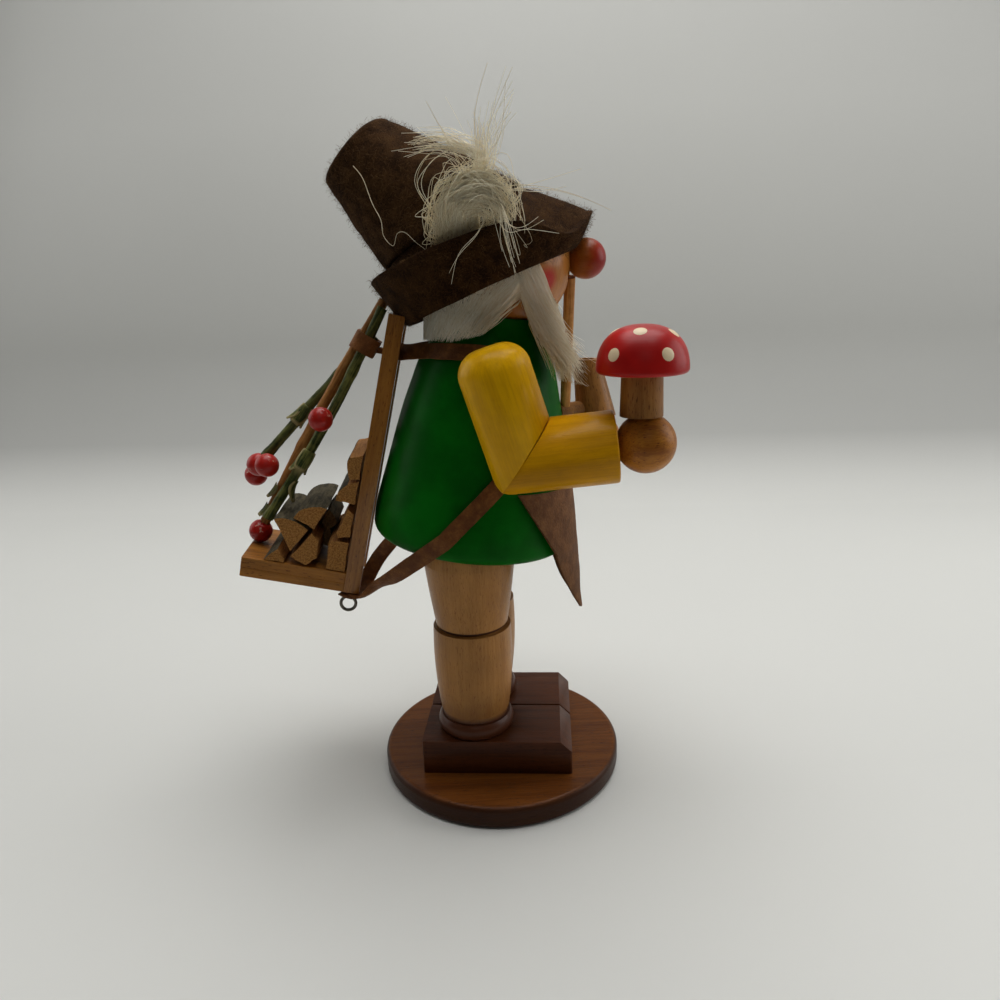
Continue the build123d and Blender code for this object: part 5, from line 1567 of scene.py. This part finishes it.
STRAP_FREE_LEFT = [
    ((21.2, 50.4, 16.5), (-0.55, 0.75, -0.35)),
    ((13.2, 40.4, 11.2), (-0.65, 0.5, -0.55)),
    ((7.2, 24.9, 5.7), (-0.6, 0.1, -0.8)),
    ((2.9, 12.9, -1.8), (-0.3, 0, -0.95)),
]


def strap_route(side, over, free, layer):
    """Middle line of a strap and the way that its outer face looks."""
    start = SLAT_FRONT + LEATHER / 2 + GLUE
    line = [on_carrier(start, side * left, TACK_HEIGHT) for left in STRAP_START]
    faces = [-CARRIER_OUT, -CARRIER_OUT]
    for share, angle in over:
        hit, facing = on_body(share * COAT_HEIGHT, side * angle)
        line.append(hit + facing * (STRAP_LIFT * MM))
        faces.append(facing)
    for place, facing in free:
        line.append(on_carrier(EYE_AHEAD, EYE_SIDE, -LEATHER / 2) + Vector(place) * MM)
        faces.append(Vector(facing).normalized())
    tab = -(layer - 0.5) * LEATHER - layer * GLUE
    eye = on_carrier(EYE_AHEAD, EYE_SIDE, tab)
    arrival = line[-1] - eye
    arrival = (arrival - CARRIER_UP * arrival.dot(CARRIER_UP)).normalized()
    for distance in STRAP_TAB:
        line.append(eye + arrival * (distance * MM))
        faces.append(-CARRIER_UP)
    return smooth_line(line, SPAN_STEPS), smooth_line(faces, SPAN_STEPS)


def band_section(width, thickness):
    """Flat band's outline with softened corners, as across and outward."""
    w, t, c = width / 2, thickness / 2, 0.28 * thickness
    inner = [(-w, -t + c), (-w + c, -t), (0, -t), (w - c, -t), (w, -t + c)]
    return inner + [(-across, -outward) for across, outward in inner]


def leather_strap(route, facing, width, thickness):
    """Flat strap along a line in metres, with slightly uneven cut edges."""
    section = band_section(1.0, thickness)
    points = []
    for index, place in enumerate(route):
        before = route[max(index - 1, 0)]
        after = route[min(index + 1, len(route) - 1)]
        ahead = (after - before).normalized()
        across = facing[index].cross(ahead).normalized()
        out = ahead.cross(across)
        for share, lift in section:
            ragged = 1 + EDGE_WOBBLE * noise.noise(place * 450 + Vector((share * 9, 0, 0)))
            points.append(place + across * (share * width * ragged * MM) + out * (lift * MM))
    return points, capped_rings(len(route), len(section))


strap_plans = {
    "right": (-1, STRAP_OVER + STRAP_UNDER_RIGHT, STRAP_FREE_RIGHT, 1),
    "left": (1, STRAP_OVER + STRAP_UNDER_LEFT, STRAP_FREE_LEFT, 2),
}
for side_name, plan in strap_plans.items():
    route, facing = strap_route(*plan)
    points, faces = leather_strap(route, facing, STRAP_WIDTH, LEATHER)
    strap_name = f"strap_{side_name}"
    leather_name = f"leather_{strap_name}"
    strap = finished(leather_name, points, faces, strap_leather, "figure", (strap_name,))
    strap.data.set_sharp_from_angle(angle=math.radians(50))
    strap_length = sum((after - before).length for before, after in zip(route, route[1:]))
    print("strap", side_name, "length", round(strap_length, 4))

# %% Apron
APRON_TOP = 29.5
APRON_TIP = -28.5
APRON_TOP_ANGLE = 62.0
APRON_TIP_ANGLE = 2.0
APRON_TOP_RADIUS = 39.9
APRON_TIP_RADIUS = 51.8
APRON_SWING = 0.9
APRON_FALLS = (0.95, 0.63)
APRON_CURL_RADIUS = 9.0
APRON_CURL_START = 0.45
APRON_CURL_GROWTH = 0.7
APRON_RIPPLE = 0.35
APRON_GRAIN = 0.05
APRON_ROWS = 54
APRON_COLUMNS = 40


def apron_strip(share):
    """Height, reach, curl radius and the two half angles of the apron at a share of the way to its tip."""
    reach = mixed(APRON_TOP_RADIUS, APRON_TIP_RADIUS, share**APRON_SWING)
    curl_share = max(0, (share - APRON_CURL_START) / (1 - APRON_CURL_START)) ** APRON_CURL_GROWTH
    curl = mixed(reach, APRON_CURL_RADIUS, curl_share)
    halves = []
    for fall in APRON_FALLS:
        angle = mixed(APRON_TIP_ANGLE, APRON_TOP_ANGLE, (1 - share) ** fall)
        halves.append(angle * reach / curl)
    return mixed(APRON_TOP, APRON_TIP, share), reach, curl, halves


def apron_grid():
    """Middle layer of the apron: rows of points from its top edge to its tip, in metres."""
    rows = []
    for row in range(APRON_ROWS + 1):
        share = row / APRON_ROWS
        height, reach, curl, (near_half, far_half) = apron_strip(share)
        centre = on_axis(height) + FIGURE_FRONT * ((reach - curl) * MM)
        line = []
        for column in range(APRON_COLUMNS + 1):
            angle = mixed(-near_half, far_half, column / APRON_COLUMNS)
            point = centre + radial(angle) * ((curl + LEATHER / 2) * MM)
            ripple = APRON_RIPPLE * share * noise.noise(point * 110) + APRON_GRAIN * noise.noise(point * 600)
            line.append(point + radial(angle) * (ripple * MM))
        rows.append(line)
    return rows


def grid_faces(rows, columns):
    """Quads of an open grid of points that are listed row by row."""
    wide = columns + 1
    corners = [row * wide + column for row in range(rows) for column in range(columns)]
    return [(corner, corner + 1, corner + wide + 1, corner + wide) for corner in corners]


def leather_apron():
    """Leather sheet with a thickness, and its flat size in metres."""
    rows = apron_grid()
    points = [point for line in rows for point in line]
    faces = grid_faces(APRON_ROWS, APRON_COLUMNS)
    area = 0
    for corner, beside, opposite, below in faces:
        side = points[beside] - points[corner]
        down = points[below] - points[corner]
        area += side.cross(down).length
    apron = finished("leather_apron", points, faces, apron_leather, "figure", ("apron",))
    wall = apron.modifiers.new("thickness", "SOLIDIFY")
    wall.thickness = LEATHER * MM
    wall.offset = 0
    settle(apron)
    apron.data.set_sharp_from_angle(angle=math.radians(50))
    across = sum((b - a).length for a, b in zip(rows[0], rows[0][1:]))
    middle = APRON_COLUMNS // 2
    down = sum((b[middle] - a[middle]).length for a, b in zip(rows, rows[1:]))
    return apron, across, down, area


apron, apron_width, apron_length, apron_area = leather_apron()
print("apron flat size", round(apron_width, 4), round(apron_length, 4), "area", round(apron_area, 6))

# %% [markdown]
# ## Firewood
# Each log is a piece of branch split and sawn to length: crumbly sawn ends, torn split faces and a strip of
# bark. A log is lofted along its length from the outline of its near end, with torn faces from noise.

# %% Firewood
LOG_HALF = 20.0
LOG_STATIONS = 22
WALL = -7.2
FLOOR_TOP = 8.5
LOG_ENDS = {
    "log_top": ([(-13.9, 57.3), (-13, 59.4), (WALL, 61.3), (WALL, 50.2), (-11.5, 49.2)], (0, 4)),
    "log_quarter": ([(-16.2, 39.4), (-15.3, 44.2), (-11.9, 47.9), (WALL, 49.8), (WALL, 38.9)], (0, 1)),
    "log_split": (
        [(-12.1, 30.3), (-10.2, 37.4), (WALL, 35.5), (WALL, 24.3), (-12.6, 23.4), (-13.7, 25.1)], (),
    ),
    "log_corner": ([(-15.6, FLOOR_TOP), (-16.4, 21.1), (-14.9, 22.4), (WALL, 22.6), (WALL, FLOOR_TOP)], ()),
    "log_wide": ([(-40, 27.3), (-38.1, 28.4), (-34.1, 28.8), (-24.6, 24.9), (-31, 13.8)], (0, 1, 2)),
    "log_round": ([(-32.2, 29), (-29.2, 33.7), (-23.1, 36), (-18.3, 35.7), (-22.6, 25.2)], (0, 1, 2)),
    "log_wedge": ([(-31.4, 11.6), (-23.4, 24.5), (-19.9, 21), (-19.4, 12.9), (-24.2, FLOOR_TOP)], ()),
    "log_chip": ([(-42, FLOOR_TOP), (-36.5, 14.9), (-32.6, 10.6), (-32.8, FLOOR_TOP)], (0,)),
    "log_back": (
        [(-18.9, 14), (-19.7, 21.5), (-21.6, 25), (-19.2, 31.5), (-14.4, 26), (-17, 23), (-17, 14)],
        (0, 1, 2, 3, 4, 5, 6),
    ),
}
LOG_SET_BACK = {"log_back": 14}
SIDE_STEPS = 6
BARK_SWELL = 0.07
# Share of bark colour on the set-back log's sawn ends, as painted shade in the gap between the stacks
BACK_END_SHADE = 0.7
LOG_RELIEF = 0.35
LOG_INSET = 0.36
TORN_DEPTH = 0.34
BARK_CALM = 0.14
SPLINTER_DEPTH = 0.12
END_WEAR = 0.2
END_REACH = 1.2


def log_finish():
    """Firewood: sawn ends, torn faces and bark, chosen by attributes of the faces."""
    material, tree, shader = new_material("split_log", 0.8)
    place = turned_place(tree, CARRIER_LEFT)
    # The bark value also carries painted shade on the set-back log's sawn ends
    bark = noted_value(tree, "bark")
    sawn = noted_value(tree, "sawn")
    inputs = {"Vector": place, "Streaks": 0.9, "Pores": 0.7}
    inputs.update({"Light": (0.42, 0.19, 0.052, 1), "Dark": (0.18, 0.075, 0.020, 1)})
    torn = node(tree, "ShaderNodeGroup", inputs, node_tree=wood_grain)
    crumbs = noise_value(tree, place, 1400.0, 4.0, 0.75)
    end_tone = remap(tree, crumbs, 0.32, 0.68)
    end_colour = mix_colours(tree, end_tone, (0.22, 0.095, 0.022, 1), (0.54, 0.25, 0.068, 1))
    cracks = noise_value(tree, stretch(tree, place, (1, 1, 0.25)), 480.0, 5.0, 0.7)
    bark_tone = remap(tree, cracks, 0.35, 0.65)
    bark_colour = mix_colours(tree, bark_tone, (0.026, 0.021, 0.010, 1), (0.085, 0.068, 0.036, 1))
    wood = mix_colours(tree, sawn, torn.outputs["Colour"], end_colour)
    tree.links.new(mix_colours(tree, bark, wood, bark_colour), shader.inputs["Base Color"])
    rough_end = calc(tree, "MULTIPLY", calc(tree, "MULTIPLY", crumbs, sawn), 1.5)
    rough_bark = calc(tree, "MULTIPLY", calc(tree, "MULTIPLY", cracks, bark), 0.5)
    height = calc(tree, "ADD", calc(tree, "ADD", torn.outputs["Height"], rough_end), rough_bark)
    bump(tree, shader, height, LOG_RELIEF * MM)
    return material


def log_outline(corners, bark_sides):
    """Closed outline with each side divided, bark sides bulged, and a note of which steps are bark."""
    outline, is_bark = [], []
    for index, (start, end) in enumerate(zip(corners, corners[1:] + corners[:1])):
        start, end = Vector(start), Vector(end)
        normal = Vector((-(end - start).y, (end - start).x)).normalized()
        swell = BARK_SWELL * (end - start).length if index in bark_sides else 0.0
        for step in range(SIDE_STEPS):
            share = step / SIDE_STEPS
            outline.append(mixed(start, end, share) + normal * (swell * math.sin(math.pi * share)))
            is_bark.append(1.0 if index in bark_sides else 0.0)
    return outline, is_bark


def note_values(piece, name, domain, values):
    """Writes one number on each point or face of a piece, for its finish to read."""
    note = piece.data.attributes.new(name, "FLOAT", domain)
    for index, value in enumerate(values):
        note.data[index].value = value


def firewood(name, corners, bark_sides, material):
    """One log as a loft of its outline, torn by noise, with attributes for its finish."""
    outline, is_bark = log_outline(corners, bark_sides)
    middle = sum(outline, Vector((0, 0))) / len(outline)
    near = LOG_SET_BACK.get(name, 0) - LOG_HALF
    points = []
    for station in range(LOG_STATIONS + 1):
        left = mixed(near, LOG_HALF, station / LOG_STATIONS)
        at_end = min(1, min(LOG_HALF - left, left - near) / END_REACH)
        for place, bark in zip(outline, is_bark):
            away = (place - middle).normalized()
            seed = Vector((place.x * 0.55, left * 0.09, place.y * 0.55))
            splinters = SPLINTER_DEPTH * noise.noise(seed * 3.7)
            torn = (TORN_DEPTH - BARK_CALM * bark) * noise.noise(seed) + splinters
            corner = place + away * (torn - LOG_INSET - END_WEAR * (1 - at_end))
            points.append(on_carrier(corner.x, left, corner.y))
    sides = len(outline)
    faces = rings_to_faces(LOG_STATIONS + 1, sides)
    side_count = len(faces)
    for row in (0, LOG_STATIONS):
        points.append(sum((points[row * sides + step] for step in range(sides)), Vector()) / sides)
        for step in range(sides):
            faces.append((row * sides + step, row * sides + (step + 1) % sides, len(points) - 1))
    log = finished(f"{name}_wood", points, faces, material, "figure", (name,))
    end_count = len(faces) - side_count
    # The set-back log's sawn ends get painted shade through the bark value
    end_shade = BACK_END_SHADE if name in LOG_SET_BACK else 0.0
    side_bark = [is_bark[index % sides] for index in range(side_count)]
    note_values(log, "bark", "FACE", side_bark + [end_shade] * end_count)
    note_values(log, "sawn", "FACE", [0.0] * side_count + [1.0] * end_count)
    log.data.set_sharp_from_angle(angle=math.radians(38))


log_wood = log_finish()
for log_name, (corners, bark_sides) in LOG_ENDS.items():
    firewood(log_name, corners, bark_sides, log_wood)
print("logs", len(LOG_ENDS))

# %% [markdown]
# ## Twigs, berries and the pipe
# The twigs are real dried stems: a peeled brown one and two green ones with pale sheaths at their nodes. A
# stem is a tube whose radius swells at its nodes, and husks are thin patches that wrap round it. The berries
# are wooden beads with red paint that has rubbed off.

# %% Stem finish
STEM_RELIEF = 0.2


def stem_finish(name, light, dark, sheath, grain):
    """Dried stem with stripes along it and pale sheaths where an attribute says so."""
    material, tree, shader = new_material(name, 0.6)
    place = turned_place(tree, grain)
    stripes = noise_value(tree, stretch(tree, place, (1, 1, 0.05)), 1000.0, 3.0)
    blotches = noise_value(tree, place, 240.0, 4.0)
    tone = remap(tree, weighed(tree, stripes, 0.6, blotches, 0.4), 0.38, 0.64)
    stem = mix_colours(tree, tone, (*dark, 1), (*light, 1))
    pale = noted_value(tree, "sheath")
    tree.links.new(mix_colours(tree, pale, stem, (*sheath, 1)), shader.inputs["Base Color"])
    bump(tree, shader, calc(tree, "ADD", stripes, blotches), STEM_RELIEF * MM)
    return material


# %% Stem shape
STEM_SIDES = 20
STEM_ROWS = 90
STEM_SWAY = 0.4
STEM_ROUGH = 0.10
SHEATH_FROM = 0.5


def twig(name, start, end, radius, knots, material, slot, replaced, bow):
    """Bowed stem between two points in metres, with knots as share along, swelling and half length."""
    line = end - start
    side, over = square_to(line.normalized())
    points, pale = [], []
    for row in range(STEM_ROWS + 1):
        share = row / STEM_ROWS
        seed = (start + line * share) * 60
        drift = side * noise.noise(seed) + over * noise.noise(seed + Vector((5, 5, 5)))
        centre = start + line * share + (drift * STEM_SWAY + Vector(bow)) * (MM * math.sin(math.pi * share))
        swell, sheath = 0.0, 0.0
        for place, size, half in knots:
            near = math.exp(-(((share - place) * line.length / MM) / half) ** 2)
            swell += size * near
            sheath = max(sheath, near if size > SHEATH_FROM else 0.0)
        for step in range(STEM_SIDES):
            turn = 2 * math.pi * step / STEM_SIDES
            out = side * math.cos(turn) + over * math.sin(turn)
            rough = STEM_ROUGH * noise.noise((centre + out * 0.002) * 700)
            points.append(centre + out * ((radius + swell + rough) * MM))
            pale.append(sheath)
    faces = capped_rings(STEM_ROWS + 1, STEM_SIDES)
    piece = finished(name, points, faces, material, "figure", replaced)
    note_values(piece, "sheath", "POINT", pale)
    piece.data.set_sharp_from_angle(angle=math.radians(55))
    return piece


# %% Three stems
BERRY_RADIUS = 5.1
BROWN_RADIUS = 2.2
GREEN_RADIUS = 2.1
brown_top = on_carrier(-10.3, 1.5, TACK_HEIGHT + 19)
low_berry = on_carrier(-47.9, 1.5, FLOOR_TOP + BERRY_RADIUS + GLUE)
near_top = on_carrier(-10.3, -3.3, TACK_HEIGHT + 16)
near_foot = on_carrier(-44.3, -7, 23)
far_top = on_carrier(-12.4, 6.3, TACK_HEIGHT + 3.5)
end_berry = on_carrier(-53.3, 5.5, 42.5)
# Light stripes, dark stripes and pale sheath of each stem
PEELED = ((0.45, 0.205, 0.056), (0.25, 0.10, 0.023), (0.42, 0.22, 0.08))
NEAR_GREEN = ((0.165, 0.165, 0.040), (0.020, 0.032, 0.006), (0.34, 0.27, 0.12))
FAR_GREEN = ((0.13, 0.135, 0.034), (0.018, 0.028, 0.006), (0.32, 0.25, 0.11))
peeled = stem_finish("peeled_twig", *PEELED, low_berry - brown_top)
green_near = stem_finish("green_near", *NEAR_GREEN, near_foot - near_top)
green_far = stem_finish("green_far", *FAR_GREEN, end_berry - far_top)
BROWN_BOW = (-1.6, 0, 0.9)
NEAR_BOW = (2.2, -0.4, -1.1)
FAR_BOW = (-0.4, 0, 0.3)
brown_knots = [(0.3, 0.3, 3), (0.62, 0.35, 3)]
brown_line = (brown_top, low_berry, BROWN_RADIUS, brown_knots)
twig("peeled_stem", *brown_line, peeled, "twig_wood", ("brown_twig",), BROWN_BOW)
near_knots = [(0.28, 0.3, 3), (0.73, 0.55, 3.2), (0.99, 0.4, 3)]
near_line = (near_top, near_foot, GREEN_RADIUS, near_knots)
twig("green_stem_near", *near_line, green_near, "green_stem", ("green_twig_near",), NEAR_BOW)
far_knots = [(0.3, 0.35, 3), (0.62, 0.55, 3.2), (0.92, 0.4, 3)]
far_line = (far_top, end_berry, GREEN_RADIUS, far_knots)
twig("green_stem_far", *far_line, green_far, "green_stem", ("green_twig_far",), FAR_BOW)
print("stems ready")

# %% Husks on the stems
HUSK_ROWS = 10
HUSK_COLUMNS = 9
HUSK_THICKNESS = 0.35
HUSK_REACH = 2.75
HUSK_PALE = 0.75
# Stem, share along it, turn round it, length, half width and how far the lower end stands off
HUSKS = [
    ("near", 0.655, 180, 9.5, 4.4, 0.5),
    ("near", 0.68, -100, 8.0, 3.2, 1.0),
    ("near", 0.69, 105, 8.0, 3.0, 0.8),
    ("near", 0.80, -105, 8.5, 3.8, 3.2),
    ("far", 0.545, 170, 9.5, 4.2, 0.5),
    ("far", 0.57, 95, 8.5, 3.2, 1.2),
    ("far", 0.57, -100, 8.0, 3.0, 0.9),
    ("brown", 0.80, 110, 7.0, 2.8, 1.3),
    ("brown", 0.885, 120, 6.5, 2.6, 1.4),
]
HUSK_STEMS = {
    "near": (near_top, near_foot, NEAR_BOW),
    "far": (far_top, end_berry, FAR_BOW),
    "brown": (brown_top, low_berry, BROWN_BOW),
}


def husk_patch(stem, share, turn, length, half_width, flare):
    """Points and rims of one husk: a leaf base that wraps round its stem and stands off at its lower end."""
    start, end, bow = HUSK_STEMS[stem]
    line = end - start
    side, over = square_to(line.normalized())
    points, rims = [], []
    for row in range(HUSK_ROWS + 1):
        down = row / HUSK_ROWS
        along = share + down * length * MM / line.length
        centre = start + line * along + Vector(bow) * (MM * math.sin(math.pi * along))
        reach = HUSK_REACH + flare * down**2
        wide = half_width * (0.25 + 0.75 * math.sin(math.pi * min(1, 0.15 + 0.8 * down)) ** 0.8)
        for column in range(HUSK_COLUMNS + 1):
            across = 2 * column / HUSK_COLUMNS - 1
            angle = math.radians(turn) + across * wide / reach
            out = side * math.cos(angle) + over * math.sin(angle)
            points.append(centre + out * (reach * MM))
            rims.append(1.0 if abs(across) > 0.7 or row > HUSK_ROWS - 2 else 0.0)
    return points, rims


def stem_husks():
    """All husks as one piece, with pale rims."""
    points, faces, rims = [], [], []
    for husk in HUSKS:
        first = len(points)
        new_points, new_rims = husk_patch(*husk)
        points += new_points
        faces += [tuple(first + index for index in face) for face in grid_faces(HUSK_ROWS, HUSK_COLUMNS)]
        rims += new_rims
    piece = finished("stem_husks", points, faces, green_near, "figure")
    note_values(piece, "sheath", "POINT", [HUSK_PALE * rim for rim in rims])
    wall = piece.modifiers.new("thickness", "SOLIDIFY")
    wall.thickness = HUSK_THICKNESS * MM
    wall.offset = 1
    return settle(piece)


print("husks", len(HUSKS), "faces", len(stem_husks().data.polygons))

# %% Berries


def berry_finish():
    """Red bead whose paint is rubbed through to pale wood in patches."""
    material, tree, shader = new_material("berry_red", 0.42)
    place = object_place(tree)
    rubbed = remap(tree, noise_value(tree, place, 230.0, 5.0, 0.6), 0.60, 0.70)
    tone = noise_value(tree, place, 700.0, 3.0)
    red = mix_colours(tree, tone, (0.26, 0.007, 0.004, 1), (0.46, 0.016, 0.009, 1))
    tree.links.new(mix_colours(tree, rubbed, red, (0.56, 0.36, 0.27, 1)), shader.inputs["Base Color"])
    bump(tree, shader, tone, 0.15 * MM)
    shader.inputs["Coat Weight"].default_value = 0.25
    return material


finish_node(berry_finish(), "berries")
finish_node(band_leather, "twig_band")

# %% Pipe
PIPE_LINE = Vector((-1.9, 23.1, -60.5))
bowl_look = {"grain": (-0.16, 0, 1), "streaks": 0.9, "pores": 0.7, "roughness": 0.5, "coat": 0.2}
finish_node(plain_wood("bowl_wood", (0.30, 0.135, 0.034), (0.15, 0.058, 0.012), **bowl_look), "pipe_bowl")
pipe_twig = stem_finish("pipe_twig", (0.56, 0.27, 0.075), (0.34, 0.14, 0.034), (0.6, 0.4, 0.2), PIPE_LINE)
finish_node(pipe_twig, "pipe_stem")
print("berries and pipe finished")

# %% [markdown]
# ## Sizes
# Both boxes are printed axis by axis, the imported model's and the dressed object's; fur may stand a little
# proud of the first. The dressed object has to stay in the imported model's box, apart from a little that fur
# may stand proud.

# %% Sizes and finish
visual_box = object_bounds()
for axis_name, low, high, wide_low, wide_high in zip("XYZ", *cad_box, *visual_box):
    packed, dressed = (round(low, 4), round(high, 4)), (round(wide_low, 4), round(wide_high, 4))
    print(axis_name, "packed", packed, "dressed", dressed)
